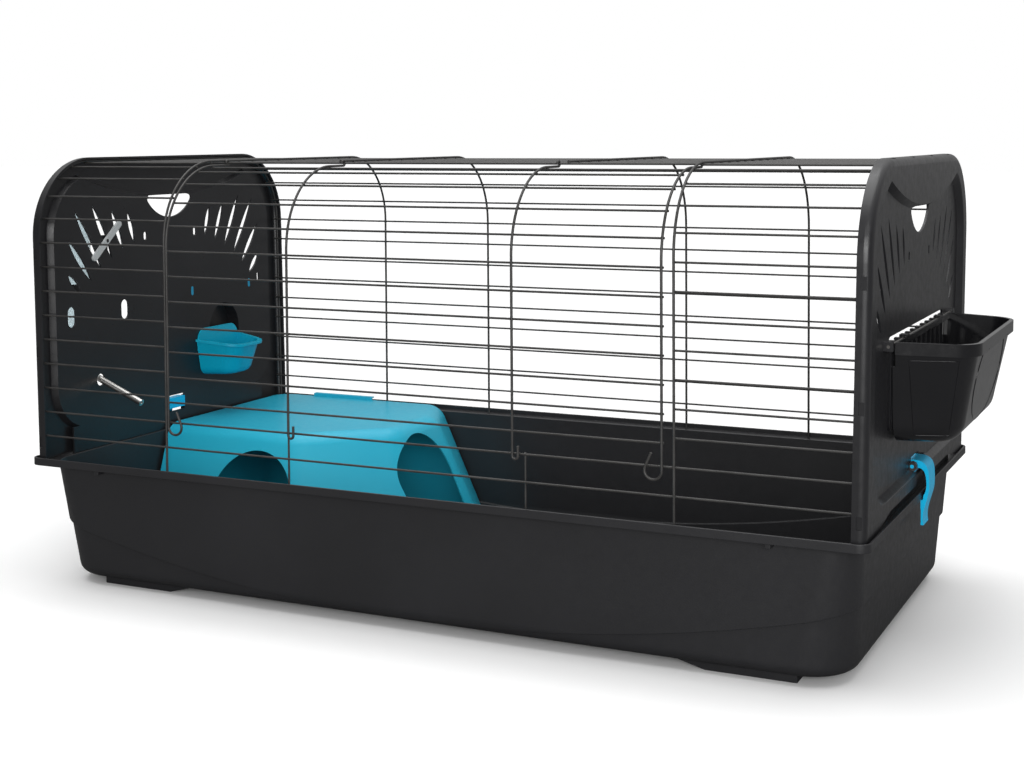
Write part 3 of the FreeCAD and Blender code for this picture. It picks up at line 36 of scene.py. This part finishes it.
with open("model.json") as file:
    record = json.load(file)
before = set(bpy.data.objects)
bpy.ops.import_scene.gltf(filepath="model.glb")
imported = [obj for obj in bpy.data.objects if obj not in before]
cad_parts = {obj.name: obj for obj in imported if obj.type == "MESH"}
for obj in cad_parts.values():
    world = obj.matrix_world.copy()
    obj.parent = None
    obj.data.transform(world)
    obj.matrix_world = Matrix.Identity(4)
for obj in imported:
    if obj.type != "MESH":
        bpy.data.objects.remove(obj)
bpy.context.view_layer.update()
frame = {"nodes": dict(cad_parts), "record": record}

MM = 0.001
scene = bpy.context.scene
scene.view_settings.view_transform = "Standard"

# Camera, as found from the photograph's straight edges
PHOTO_WIDTH, PHOTO_HEIGHT = 1024, 768
FOCAL_PIXELS = 1589.67
AXIS_PIXEL_Y = 202.07
SENSOR_WIDTH = 36.0
CAMERA_PLACE = Vector((0.82884, -1.71029, 0.53334))
CAMERA_YAW, CAMERA_PITCH, CAMERA_ROLL = 0.4451, 0.0427, -0.006      # radians
CAMERA_NEAR, CAMERA_FAR = 0.05, 60.0


def make_camera():
    """The camera at the photograph's place, with its axis above the middle of the picture."""
    data = bpy.data.cameras.new("camera")
    data.sensor_width = SENSOR_WIDTH
    data.lens = FOCAL_PIXELS / PHOTO_WIDTH * SENSOR_WIDTH
    data.shift_y = (AXIS_PIXEL_Y - PHOTO_HEIGHT / 2) / PHOTO_WIDTH
    data.clip_start, data.clip_end = CAMERA_NEAR, CAMERA_FAR
    camera = bpy.data.objects.new("camera", data)
    scene.collection.objects.link(camera)
    turn = Matrix.Rotation(CAMERA_YAW, 4, "Z") @ Matrix.Rotation(math.pi / 2 - CAMERA_PITCH, 4, "X")
    camera.matrix_world = Matrix.Translation(CAMERA_PLACE) @ turn @ Matrix.Rotation(CAMERA_ROLL, 4, "Z")
    scene.camera = camera


def linear(code):
    """A colour written as sRGB hex, such as 2b2b2d, in linear light."""
    channels = []
    for start in (0, 2, 4):
        value = int(code[start:start + 2], 16) / 255
        channels.append(value / 12.92 if value <= 0.04045 else ((value + 0.055) / 1.055) ** 2.4)
    return (*channels, 1.0)


def add(tree, kind, inputs=None, **settings):
    """Adds a node with its settings. An input is a plain value, or another node's output to join."""
    item = tree.nodes.new(kind)
    for name, value in settings.items():
        setattr(item, name, value)
    for name, value in (inputs or {}).items():
        if isinstance(value, bpy.types.NodeSocket):
            tree.links.new(value, item.inputs[name])
        else:
            item.inputs[name].default_value = value
    return item


def ranged(tree, value, low, high, start=0.0, end=1.0, **settings):
    """value's stretch from start to end, spread over low to high."""
    return add(tree, "ShaderNodeMapRange", {"Value": value, "From Min": start, "From Max": end,
                                            "To Min": low, "To Max": high}, **settings).outputs["Result"]


def blank_material(name):
    """An empty material and its tree."""
    material = bpy.data.materials.new(name)
    material.use_nodes = True
    material.node_tree.nodes.clear()
    return material, material.node_tree


# Studio

FLOOR_SIZE = 40.0
SUN_ANGLE = 62.0                # degrees across, for soft shadows
PAPER_SEEN = 0.93               # the paper's tone to the camera: white where lit, grey in the shadow
PAPER_MIRRORED = 0.16           # its tone in glossy reflections, as dark as the room in front of the cage
PAPER_LIGHT = 0.42              # its tone for the light that it throws back at the cage
ROOM_LIGHT = 0.50               # the room's strength for all light but reflections
ROOM_DEPTH, ROOM_DEPTH_TONES = (-0.30, 0.85), (0.07, 0.40)      # in reflections, from the camera's side back
ROOM_HEIGHT, ROOM_HEIGHT_TONES = (0.25, 0.80), (0.0, 0.65)      # and what is added from the walls up
KEY_STRENGTH = 2.1
KEY_COMES_FROM = (-0.05, 0.05, 1.0)
BOX_SIZE = (2.4, 1.0)
BOX_WATTS = 62.0
BOX_PLACE = (1.45, -2.75, 0.85)
BOX_COMES_FROM = (0.48, -0.92, 0.15)


def background_rays(tree):
    """The ray's kinds, and one where a camera or glass ray looks and zero for other light."""
    path = add(tree, "ShaderNodeLightPath")
    seen = add(tree, "ShaderNodeMath", {0: path.outputs["Is Camera Ray"],
                                        1: path.outputs["Is Transmission Ray"]}, operation="MAXIMUM")
    return path, seen.outputs[0]


def make_world():
    """White where it is seen directly, dimmer in reflections, and darkest on the camera's side."""
    world = bpy.data.worlds.new("studio")
    scene.world = world
    world.use_nodes = True
    tree = world.node_tree
    tree.nodes.clear()
    path, seen = background_rays(tree)
    place = add(tree, "ShaderNodeTexCoord")
    split = add(tree, "ShaderNodeSeparateXYZ", {0: place.outputs["Generated"]})
    depth = ranged(tree, split.outputs["Y"], *ROOM_DEPTH_TONES, *ROOM_DEPTH,
                   interpolation_type="SMOOTHSTEP")
    above = ranged(tree, split.outputs["Z"], *ROOM_HEIGHT_TONES, *ROOM_HEIGHT,
                   interpolation_type="SMOOTHSTEP")
    room = add(tree, "ShaderNodeMath", {0: depth, 1: above}, operation="ADD")
    glossy = add(tree, "ShaderNodeMix", {"Factor": path.outputs["Is Glossy Ray"], "A": ROOM_LIGHT,
                                         "B": room.outputs[0]}, data_type="FLOAT")
    strength = add(tree, "ShaderNodeMix", {"Factor": seen, "A": glossy.outputs[0], "B": 1.0},
                   data_type="FLOAT")
    light = add(tree, "ShaderNodeBackground", {"Color": (1, 1, 1, 1), "Strength": strength.outputs[0]})
    add(tree, "ShaderNodeOutputWorld", {"Surface": light.outputs[0]})


def make_floor():
    """A matt floor that keeps the cage's shadow and is white where the camera sees it lit."""
    half = FLOOR_SIZE / 2
    mesh = bpy.data.meshes.new("studio_floor")
    corners = [(-half, -half, 0), (half, -half, 0), (half, half, 0), (-half, half, 0)]
    mesh.from_pydata(corners, [], [(0, 1, 2, 3)])
    floor = bpy.data.objects.new("studio_floor", mesh)
    scene.collection.objects.link(floor)
    material, tree = blank_material("studio_paper")
    path, seen = background_rays(tree)
    thrown = add(tree, "ShaderNodeMix", {"Factor": path.outputs["Is Glossy Ray"], "A": PAPER_LIGHT,
                                         "B": PAPER_MIRRORED}, data_type="FLOAT")
    shade = add(tree, "ShaderNodeMix", {"Factor": seen, "A": thrown.outputs[0], "B": PAPER_SEEN},
                data_type="FLOAT")
    surface = add(tree, "ShaderNodeBsdfDiffuse", {"Color": shade.outputs[0]})
    add(tree, "ShaderNodeOutputMaterial", {"Surface": surface.outputs[0]})
    mesh.materials.append(material)


def hang(light, comes_from, place=(0, 0, 0)):
    """A lamp at its place, with its light coming from a direction."""
    lamp = bpy.data.objects.new(light.name, light)
    lamp.location = place
    lamp.rotation_euler = Vector(comes_from).to_track_quat("Z", "Y").to_euler()
    scene.collection.objects.link(lamp)


def make_lamps():
    """A wide soft key overhead, and a low box in front that lights the upright faces."""
    key = bpy.data.lights.new("key", "SUN")
    key.energy = KEY_STRENGTH
    key.angle = math.radians(SUN_ANGLE)
    hang(key, KEY_COMES_FROM)
    box = bpy.data.lights.new("front_box", "AREA")
    box.shape, box.energy = "RECTANGLE", BOX_WATTS
    box.size, box.size_y = BOX_SIZE
    hang(box, BOX_COMES_FROM, BOX_PLACE)


# Materials

PLASTIC_IOR, WIRE_IOR, BOTTLE_IOR = 1.49, 1.50, 1.50
FLOW_MM = 140.0                 # the slow change of tone where the melt ran through the mould
SCUFF_MM = 9.0                  # patches of handling marks
FLOW_RANGE, SCUFF_RANGE = (0.35, 0.75), (0.3, 0.7)      # the stretch of each pattern that is used
EDGE_HIGHLIGHT_MM = 0.9                   # how far the painted edge highlight reaches in from a sharp edge
EDGE_HIGHLIGHT_COSINES = (0.88, 0.995)    # between the rounded and the true normal: full painted highlight, and none at all
FLOW_PALE, EDGE_HIGHLIGHT_PALE = 0.30, 0.45       # how far flow, and the painted edge highlight, take a colour to its pale tone
GRAIN_ROUGHNESS = 0.03          # what the grain adds to the roughness or takes from it
GRAIN_BUMP, PEEL_BUMP, DIE_LINE_BUMP, WAVE_BUMP = 0.6, 0.5, 0.25, 0.5
WIRE_COLOUR, WIRE_PALE = "292827", "383736"
WIRE_ROUGHNESS = (0.34, 0.52)
PEEL_MM, PEEL_HEIGHT_MM = 1.6, 0.12     # the orange peel of the powder coat
RUBBED_MM, RUBBED_RANGE = 26.0, (0.35, 0.7)     # patches where the wire is rubbed paler
DIE_LINE_MM, DIE_LINE_HEIGHT_MM = 0.7, 0.05
DIE_LINE_SCALE = (0.05, 1.0, 1.0)       # drawn out along X
SMUDGE_MM, SMUDGE_COLOUR, SMUDGE_TONE = 12.0, "8f8d89", 0.35    # dull marks on bare steel
BOTTLE_COLOUR, BOTTLE_CLEARNESS = "dfe9ec", 0.92
BOTTLE_ROUGHNESS = (0.06, 0.16)
WAVE_MM, WAVE_HEIGHT_MM = 22.0, 0.8     # slow waves in the bottle's wall
HAZE_MM = 5.0                   # cloudy spots in it


def object_place(tree):
    """A surface point in metres, in the cage's own frame."""
    return add(tree, "ShaderNodeTexCoord").outputs["Object"]


def noise(tree, place, size_mm, detail=2.0, roughness=0.5):
    """A soft random pattern whose patches are about size_mm across."""
    return add(tree, "ShaderNodeTexNoise", {"Vector": place, "Scale": 1 / (size_mm * MM), "Detail": detail,
                                            "Roughness": roughness}).outputs["Fac"]


def painted_edge_highlight(tree, width_mm):
    """One on sharp edges, where the surface is paled as a painted highlight, and zero on flats."""
    rounded = add(tree, "ShaderNodeBevel", {"Radius": width_mm * MM}, samples=4)
    surface = add(tree, "ShaderNodeNewGeometry")
    facing = add(tree, "ShaderNodeVectorMath", {0: rounded.outputs["Normal"], 1: surface.outputs["Normal"]},
                 operation="DOT_PRODUCT")
    return ranged(tree, facing.outputs["Value"], 1.0, 0.0, *EDGE_HIGHLIGHT_COSINES)


def moulded_plastic(name, colour, pale, roughness, grain_mm, grain_height_mm, sheen_spread, mirror=0.5):
    """Injection-moulded plastic: a fine spark-eroded grain, faint flow tones and sharp edges paled as a
    painted highlight.
    """
    material, tree = blank_material(name)
    place = object_place(tree)
    flow = noise(tree, place, FLOW_MM, detail=3.0)
    scuffs = noise(tree, place, SCUFF_MM, detail=6.0, roughness=0.72)
    grain = noise(tree, place, grain_mm)
    # the mask of the painted highlight along sharp edges
    edge = painted_edge_highlight(tree, EDGE_HIGHLIGHT_MM)
    tone = add(tree, "ShaderNodeMix", {"Factor": ranged(tree, flow, 0.0, FLOW_PALE, *FLOW_RANGE),
                                       "A": linear(colour), "B": linear(pale)}, data_type="RGBA")
    # paling the sharp edges towards the pale tone is a painted highlight
    shade = add(tree, "ShaderNodeMix", {"Factor": ranged(tree, edge, 0.0, EDGE_HIGHLIGHT_PALE),
                                        "A": tone.outputs["Result"], "B": linear(pale)}, data_type="RGBA")
    handled = ranged(tree, scuffs, roughness - sheen_spread, roughness + sheen_spread, *SCUFF_RANGE)
    grained = ranged(tree, grain, -GRAIN_ROUGHNESS, GRAIN_ROUGHNESS)
    rough = add(tree, "ShaderNodeMath", {0: handled, 1: grained}, operation="ADD")
    bump = add(tree, "ShaderNodeBump", {"Height": grain, "Strength": GRAIN_BUMP,
                                        "Distance": grain_height_mm * MM})
    surface = add(tree, "ShaderNodeBsdfPrincipled", {"Base Color": shade.outputs["Result"],
                                                     "IOR": PLASTIC_IOR, "Specular IOR Level": mirror,
                                                     "Roughness": rough.outputs[0],
                                                     "Normal": bump.outputs[0]})
    add(tree, "ShaderNodeOutputMaterial", {"Surface": surface.outputs[0]})
    return material


def coated_wire():
    """Powder-coated steel wire: a dark brown-grey skin with a fine orange peel and paler rubbed patches."""
    material, tree = blank_material("powder_coated_steel")
    place = object_place(tree)
    peel = noise(tree, place, PEEL_MM, detail=3.0, roughness=0.6)
    patches = noise(tree, place, RUBBED_MM, detail=3.0, roughness=0.6)
    tone = add(tree, "ShaderNodeMix", {"Factor": ranged(tree, patches, 0.0, 1.0, *RUBBED_RANGE),
                                       "A": linear(WIRE_COLOUR), "B": linear(WIRE_PALE)}, data_type="RGBA")
    bump = add(tree, "ShaderNodeBump", {"Height": peel, "Strength": PEEL_BUMP,
                                        "Distance": PEEL_HEIGHT_MM * MM})
    surface = add(tree, "ShaderNodeBsdfPrincipled", {"Base Color": tone.outputs["Result"], "IOR": WIRE_IOR,
                                                     "Roughness": ranged(tree, patches, *WIRE_ROUGHNESS),
                                                     "Normal": bump.outputs[0]})
    add(tree, "ShaderNodeOutputMaterial", {"Surface": surface.outputs[0]})
    return material


def drawn_steel(name, colour, rough_low, rough_high):
    """Drawn steel: bright, with dull marks and fine die lines along X, which is how the spout lies."""
    material, tree = blank_material(name)
    place = object_place(tree)
    stretch = add(tree, "ShaderNodeMapping", {"Vector": place, "Scale": DIE_LINE_SCALE})
    lines = noise(tree, stretch.outputs[0], DIE_LINE_MM, detail=4.0, roughness=0.65)
    smudge = noise(tree, place, SMUDGE_MM, detail=3.0)
    tone = add(tree, "ShaderNodeMix", {"Factor": ranged(tree, smudge, 0.0, SMUDGE_TONE),
                                       "A": linear(colour), "B": linear(SMUDGE_COLOUR)}, data_type="RGBA")
    bump = add(tree, "ShaderNodeBump", {"Height": lines, "Strength": DIE_LINE_BUMP,
                                        "Distance": DIE_LINE_HEIGHT_MM * MM})
    surface = add(tree, "ShaderNodeBsdfPrincipled", {"Base Color": tone.outputs["Result"], "Metallic": 1.0,
                                                     "Roughness": ranged(tree, lines, rough_low, rough_high),
                                                     "Normal": bump.outputs[0]})
    add(tree, "ShaderNodeOutputMaterial", {"Surface": surface.outputs[0]})
    return material


def clear_bottle():
    """Blow-moulded clear plastic with a faint blue cast and slow waves from the mould."""
    material, tree = blank_material("clear_bottle_plastic")
    place = object_place(tree)
    waves = noise(tree, place, WAVE_MM)
    haze = noise(tree, place, HAZE_MM, detail=4.0, roughness=0.7)
    bump = add(tree, "ShaderNodeBump", {"Height": waves, "Strength": WAVE_BUMP,
                                        "Distance": WAVE_HEIGHT_MM * MM})
    surface = add(tree, "ShaderNodeBsdfPrincipled", {"Base Color": linear(BOTTLE_COLOUR), "IOR": BOTTLE_IOR,
                                                     "Transmission Weight": BOTTLE_CLEARNESS,
                                                     "Roughness": ranged(tree, haze, *BOTTLE_ROUGHNESS),
                                                     "Normal": bump.outputs[0]})
    add(tree, "ShaderNodeOutputMaterial", {"Surface": surface.outputs[0]})
    return material


MATERIALS = {
    "tray_plastic": moulded_plastic("black_polypropylene_tray", "202022", "2e2e31", 0.42, 1.3, 0.10, 0.06),
    "panel_plastic": moulded_plastic("black_polypropylene_panel", "19191b", "2c2c2f", 0.34, 1.1, 0.10, 0.07),
    "rack_plastic": moulded_plastic("glossy_black_polystyrene", "101012", "232326", 0.16, 1.2, 0.04, 0.05),
    "wire_coating": coated_wire(),
    "clip_plastic": moulded_plastic("bright_blue_acetal", "00b2e4", "34c6ee", 0.34, 1.0, 0.03, 0.05, 0.25),
    "bowl_plastic": moulded_plastic("blue_polypropylene", "069cba", "30b8d2", 0.32, 1.0, 0.04, 0.05, 0.3),
    "house_plastic": moulded_plastic("turquoise_polypropylene", "22a8c6", "40bcd4", 0.38, 1.1, 0.05, 0.06,
                                     0.3),
    "peg_plastic": moulded_plastic("blue_polypropylene_peg", "0080a8", "2fb4d2", 0.34, 1.0, 0.04, 0.05),
    "bottle_plastic": clear_bottle(),
    "cap_plastic": moulded_plastic("black_polypropylene_cap", "1c1c1e", "343437", 0.34, 1.0, 0.05, 0.05),
    "seal_rubber": moulded_plastic("pale_silicone_rubber", "d8d8d2", "e6e6e0", 0.60, 1.0, 0.08, 0.05),
    "spout_steel": drawn_steel("polished_stainless_tube", "e6e5e2", 0.24, 0.38),
    "rod_steel": drawn_steel("plain_steel_rod", "8f8c88", 0.25, 0.40),
    "holder_plastic": moulded_plastic("black_polypropylene_holder", "1f1f21", "343437", 0.36, 1.0, 0.06,
                                      0.05),
    "toggle_plastic": moulded_plastic("natural_grey_polypropylene", "a9adae", "c4c7c8", 0.38, 1.0, 0.05,
                                      0.05),
}


def slot_of(node):
    """The record's material slot of a CAD node."""
    for entry in frame["record"]["subparts"]:
        if entry["node"] == node:
            return entry["material_slot"]


def coat(mesh, node):
    """Gives a mesh the finish of a CAD node."""
    mesh.materials.clear()
    mesh.materials.append(MATERIALS[slot_of(node)])


def dress(node):
    """A CAD node keeps its shape and takes its finish."""
    coat(frame["nodes"][node].data, node)


def shade_smooth(mesh):
    """Shades a mesh without facets."""
    for polygon in mesh.polygons:
        polygon.use_smooth = True


# Mouldings with rounded edges

EASED_EDGES = {"tray": 0.8, "hide_house": 0.6, "hay_bin": 0.4, "food_bowl": 0.4, "left_clip": 0.4,
               "right_clip": 0.4, "hay_grille": 0.5, "holder_toggle": 0.5, "bottle_holder": 0.4}     # mm
MERGE_MM = 0.004                # corners this close are one
FLAT_DEGREES = 0.6              # faces that turn by less than this are one flat face
SHARP_DEGREES = 32.0            # an edge that turns by more than this is eased
EASED_SEGMENTS = 2
FLATS_WEIGHT = 100              # large flat faces set the shading at their edges


def body_name(node):
    """The body that a CAD node rides on."""
    for name, nodes in frame["record"]["behaviour"]["bodies"].items():
        if node in nodes:
            return name


def finished(obj):
    """obj with its modifiers worked into a plain mesh."""
    graph = bpy.context.evaluated_depsgraph_get()
    mesh = bpy.data.meshes.new_from_object(obj.evaluated_get(graph), depsgraph=graph)
    obj.modifiers.clear()
    obj.data = mesh
    return obj


def softened(node, edge_mm):
    """A copy of a CAD node with its moulded edges eased, which stands for the node."""
    tool = bmesh.new()
    tool.from_mesh(frame["nodes"][node].data)
    bmesh.ops.remove_doubles(tool, verts=tool.verts, dist=MERGE_MM * MM)
    bmesh.ops.dissolve_limit(tool, angle_limit=math.radians(FLAT_DEGREES), verts=tool.verts,
                             edges=tool.edges, delimit={"NORMAL"})
    mesh = bpy.data.meshes.new(node + "_moulding")
    tool.to_mesh(mesh)
    tool.free()
    obj = bpy.data.objects.new(node + "_moulding", mesh)
    scene.collection.objects.link(obj)
    coat(mesh, node)
    shade_smooth(mesh)
    for polygon in mesh.polygons:
        polygon.material_index = 0
    bevel = obj.modifiers.new("eased", "BEVEL")
    bevel.limit_method, bevel.angle_limit = "ANGLE", math.radians(SHARP_DEGREES)
    bevel.width, bevel.segments = edge_mm * MM, EASED_SEGMENTS
    bevel.miter_outer = "MITER_ARC"
    flats = obj.modifiers.new("flats", "WEIGHTED_NORMAL")
    flats.mode, flats.weight, flats.keep_sharp = "FACE_AREA_WITH_ANGLE", FLATS_WEIGHT, True
    finished(obj)
    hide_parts(node)
    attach(obj, body_name(node))
    return obj


# Weld beads, where a lengthwise bar crosses a hoop

BAR_NODES = {"cage": ("hinge_bar", "top_bars", "back_bars", "sill_bars", "left_front_bars",
                      "right_front_bars"),
             "door": ("door_bars",)}
HOOP_NODES = {"cage": ("left_end_hoop", "right_end_hoop", "left_hood_hoop", "right_hood_hoop",
                       "left_back_hoop", "right_back_hoop", "sill_uprights"),
              "door": ("door_left_outer_hoop", "door_right_outer_hoop", "door_left_inner_hoop",
                       "door_right_inner_hoop")}
BEAD_RADIUS_MM = 1.35
BEAD_SPREAD_SHARE = 1.5         # a bead is this many times as long along the bar as it is high
BEAD_REACH_MM = 2.2             # a hoop this near to a bar's axis is welded to it
BEAD_SIZE_SHARES = (0.86, 1.12)     # from the smallest bead to the largest
BEAD_SEGMENTS, BEAD_RINGS = 10, 6
BEAD_SEED = 7
CORNER_MM = 0.01                # corners this close belong to one piece
CROSSING_STEPS = 80             # even, so that the middle of a plain hoop is among the places tried


def loose_parts(node):
    """The corners of each separate piece of a CAD node's mesh."""
    mesh = frame["nodes"][node].data
    owner = list(range(len(mesh.vertices)))

    def root(index):
        while owner[index] != index:
            owner[index] = owner[owner[index]]
            index = owner[index]
        return index

    near = {}
    for vertex in mesh.vertices:
        key = tuple(round(value / (CORNER_MM * MM)) for value in vertex.co)
        owner[root(vertex.index)] = root(near.setdefault(key, vertex.index))
    for edge in mesh.edges:
        first, second = edge.vertices
        owner[root(first)] = root(second)
    parts = {}
    for vertex in mesh.vertices:
        parts.setdefault(root(vertex.index), []).append(vertex.co.copy())
    return list(parts.values())


def box_of(points):
    """The lowest and highest corners of some points."""
    low = Vector([min(point[axis] for point in points) for axis in range(3)])
    high = Vector([max(point[axis] for point in points) for axis in range(3)])
    return low, high


def surface_tree(obj):
    """An object's mesh, ready to find its nearest or first point."""
    mesh = obj.data
    return BVHTree.FromPolygons([vertex.co for vertex in mesh.vertices],
                                [polygon.vertices for polygon in mesh.polygons])


def crossing(hoop, low, high, bar_low, bar_high):
    """The point of a hoop nearest a bar, or None where the hoop passes clear of it.

    A door hoop ends in a loop or hook, so its wire isn't in the middle of its box.
    """
    best = None
    for step in range(CROSSING_STEPS + 1):
        x = low.x + (high.x - low.x) * step / CROSSING_STEPS
        if bar_low.x < x < bar_high.x:
            axis = Vector((x, (bar_low.y + bar_high.y) / 2, (bar_low.z + bar_high.z) / 2))
            place, _, _, distance = hoop.find_nearest(axis, BEAD_REACH_MM * MM)
            if place and (best is None or distance < best[0]):
                best = (distance, place)
    return best and best[1]


def weld_places(body):
    """Where the body's bars touch its hoops."""
    bars = [box_of(part) for node in BAR_NODES[body] for part in loose_parts(node)]
    places = []
    for node in HOOP_NODES[body]:
        hoop = surface_tree(frame["nodes"][node])
        for low, high in [box_of(part) for part in loose_parts(node)]:
            for bar_low, bar_high in bars:
                place = crossing(hoop, low, high, bar_low, bar_high)
                if place:
                    places.append(place)
    return places


def bead_tree():
    """A node tree that sets a small lengthened bead on each point, each a little different in size."""
    tree = bpy.data.node_groups.new("weld_beads", "GeometryNodeTree")
    face = tree.interface
    face.new_socket("Geometry", in_out="INPUT", socket_type="NodeSocketGeometry")
    radius = face.new_socket("Bead Radius", in_out="INPUT", socket_type="NodeSocketFloat")
    spread = face.new_socket("Bead Spread", in_out="INPUT", socket_type="NodeSocketFloat")
    seed = face.new_socket("Seed", in_out="INPUT", socket_type="NodeSocketInt")
    finish = face.new_socket("Material", in_out="INPUT", socket_type="NodeSocketMaterial")
    face.new_socket("Geometry", in_out="OUTPUT", socket_type="NodeSocketGeometry")
    source = add(tree, "NodeGroupInput")
    points = add(tree, "GeometryNodeMeshToPoints", {"Mesh": source.outputs["Geometry"]})
    ball = add(tree, "GeometryNodeMeshUVSphere", {"Segments": BEAD_SEGMENTS, "Rings": BEAD_RINGS,
                                                  "Radius": source.outputs["Bead Radius"]})
    size = add(tree, "FunctionNodeRandomValue", {"Seed": source.outputs["Seed"]}, data_type="FLOAT")
    size.inputs[2].default_value, size.inputs[3].default_value = BEAD_SIZE_SHARES
    length = add(tree, "ShaderNodeMath", {0: size.outputs[1], 1: source.outputs["Bead Spread"]},
                 operation="MULTIPLY")
    scale = add(tree, "ShaderNodeCombineXYZ", {"X": length.outputs[0], "Y": size.outputs[1],
                                               "Z": size.outputs[1]})
    beads = add(tree, "GeometryNodeInstanceOnPoints", {"Points": points.outputs[0],
                                                       "Instance": ball.outputs[0],
                                                       "Scale": scale.outputs[0]})
    real = add(tree, "GeometryNodeRealizeInstances", {"Geometry": beads.outputs[0]})
    dressed = add(tree, "GeometryNodeSetMaterial", {"Geometry": real.outputs[0],
                                                    "Material": source.outputs["Material"]})
    add(tree, "NodeGroupOutput", {"Geometry": dressed.outputs[0]})
    return tree, {"radius": radius.identifier, "spread": spread.identifier, "seed": seed.identifier,
                  "finish": finish.identifier}


def weld_beads(body, tree, inputs):
    """One mesh with all the weld beads of a body."""
    mesh = bpy.data.meshes.new(body + "_welds")
    mesh.from_pydata([tuple(place) for place in weld_places(body)], [], [])
    obj = bpy.data.objects.new(body + "_welds", mesh)
    scene.collection.objects.link(obj)
    nodes = obj.modifiers.new("welds", "NODES")
    nodes.node_group = tree
    nodes[inputs["radius"]] = BEAD_RADIUS_MM * MM
    nodes[inputs["spread"]] = BEAD_SPREAD_SHARE
    nodes[inputs["seed"]] = BEAD_SEED
    nodes[inputs["finish"]] = MATERIALS["wire_coating"]
    finished(obj)
    shade_smooth(obj.data)
    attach(obj, body)


# Raised lines on the mouldings

LINE_RESOLUTION = 2


def raised_line(name, node, carrier, starts, direction, radius_mm, closed=False):
    """A thin bead that lies on carrier's surface, found from starts along direction, riding with node."""
    surface = surface_tree(carrier)
    places = []
    for start in starts:
        found = surface.ray_cast(Vector(start), Vector(direction))[0]
        if found:
            places.append(found)
    curve = bpy.data.curves.new(name, "CURVE")
    curve.dimensions = "3D"
    curve.bevel_depth, curve.bevel_resolution = radius_mm * MM, LINE_RESOLUTION
    curve.use_fill_caps = True
    line = curve.splines.new("POLY")
    line.points.add(len(places) - 1)
    for point, place in zip(line.points, places):
        point.co = (*place, 1.0)
    line.use_cyclic_u = closed
    source = bpy.data.objects.new(name, curve)
    scene.collection.objects.link(source)
    graph = bpy.context.evaluated_depsgraph_get()
    mesh = bpy.data.meshes.new_from_object(source.evaluated_get(graph), depsgraph=graph)
    bpy.data.objects.remove(source)
    obj = bpy.data.objects.new(name, mesh)
    scene.collection.objects.link(obj)
    coat(mesh, node)
    shade_smooth(mesh)
    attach(obj, body_name(node))


BIN_PANEL_X = (0.5105, 0.5570, 0.5440, 0.5125)      # the raised frame's corners on the bin's side wall
BIN_PANEL_Z = (0.3080, 0.3080, 0.2310, 0.2310)
BIN_OVAL_HALF_WIDTH, BIN_OVAL_HALF_HEIGHT, BIN_OVAL_Z = 0.0800, 0.0500, 0.2820
BIN_OVAL_TOP = 0.3160
BIN_OVAL_START, BIN_OVAL_SWEEP = 140, 260            # degrees
BIN_FRAME_STEPS, BIN_OVAL_STEPS = 10, 60
BIN_BESIDE, BIN_BEFORE = 0.3, 0.7       # clear of the bin's sides and front, where its lines start
BIN_LINE_MM = 0.55


def bin_lines(carrier):
    """The raised frame on each side wall of the hay bin and the oval on its front."""
    corners = list(zip(BIN_PANEL_X, BIN_PANEL_Z))
    for side, name in ((-1, "near"), (1, "far")):
        starts = []
        for (x_from, z_from), (x_to, z_to) in zip(corners, corners[1:] + corners[:1]):
            for step in range(BIN_FRAME_STEPS):
                share = step / BIN_FRAME_STEPS
                starts.append((x_from + (x_to - x_from) * share, side * BIN_BESIDE,
                               z_from + (z_to - z_from) * share))
        raised_line("bin_frame_" + name, "hay_bin", carrier, starts, (0, -side, 0), BIN_LINE_MM, True)
    starts = []
    for step in range(BIN_OVAL_STEPS + 1):
        angle = math.radians(BIN_OVAL_START + step * BIN_OVAL_SWEEP / BIN_OVAL_STEPS)
        z = BIN_OVAL_Z + BIN_OVAL_HALF_HEIGHT * math.sin(angle)
        if z < BIN_OVAL_TOP:
            starts.append((BIN_BEFORE, BIN_OVAL_HALF_WIDTH * math.cos(angle), z))
    raised_line("bin_oval", "hay_bin", carrier, starts, (-1, 0, 0), BIN_LINE_MM)


TICK_COUNT = 9
TICK_LOW_SHARE, TICK_HIGH_SHARE = 0.22, 0.80
TICK_HALF_WIDTH = 0.0040
TICK_LONG_SHARE = 1.6
TICK_STEPS = 6
TICK_BESIDE = 0.1               # clear of the bottle, where its marks start
TICK_LINE_MM = 0.30


def bottle_ticks():
    """Volume marks moulded on the bottle, every second one longer."""
    carrier = frame["nodes"]["bottle_body"]
    low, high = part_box("bottle_body")
    y_mid = (low[1] + high[1]) / 2
    for index in range(TICK_COUNT):
        share = TICK_LOW_SHARE + (TICK_HIGH_SHARE - TICK_LOW_SHARE) * index / (TICK_COUNT - 1)
        z = low[2] + (high[2] - low[2]) * share
        half = TICK_HALF_WIDTH * (TICK_LONG_SHARE if index % 2 == 0 else 1.0)
        starts = [(low[0] - TICK_BESIDE, y_mid + half * (2 * step / TICK_STEPS - 1), z)
                  for step in range(TICK_STEPS + 1)]
        raised_line("bottle_tick_%d" % index, "bottle_body", carrier, starts, (1, 0, 0), TICK_LINE_MM)


make_camera()
make_world()
make_floor()
make_lamps()
mouldings = {}
for name in frame["nodes"]:
    if name in EASED_EDGES:
        mouldings[name] = softened(name, EASED_EDGES[name])
    else:
        dress(name)
bead_nodes, bead_inputs = bead_tree()
for name in BAR_NODES:
    weld_beads(name, bead_nodes, bead_inputs)
bin_lines(mouldings["hay_bin"])
bottle_ticks()
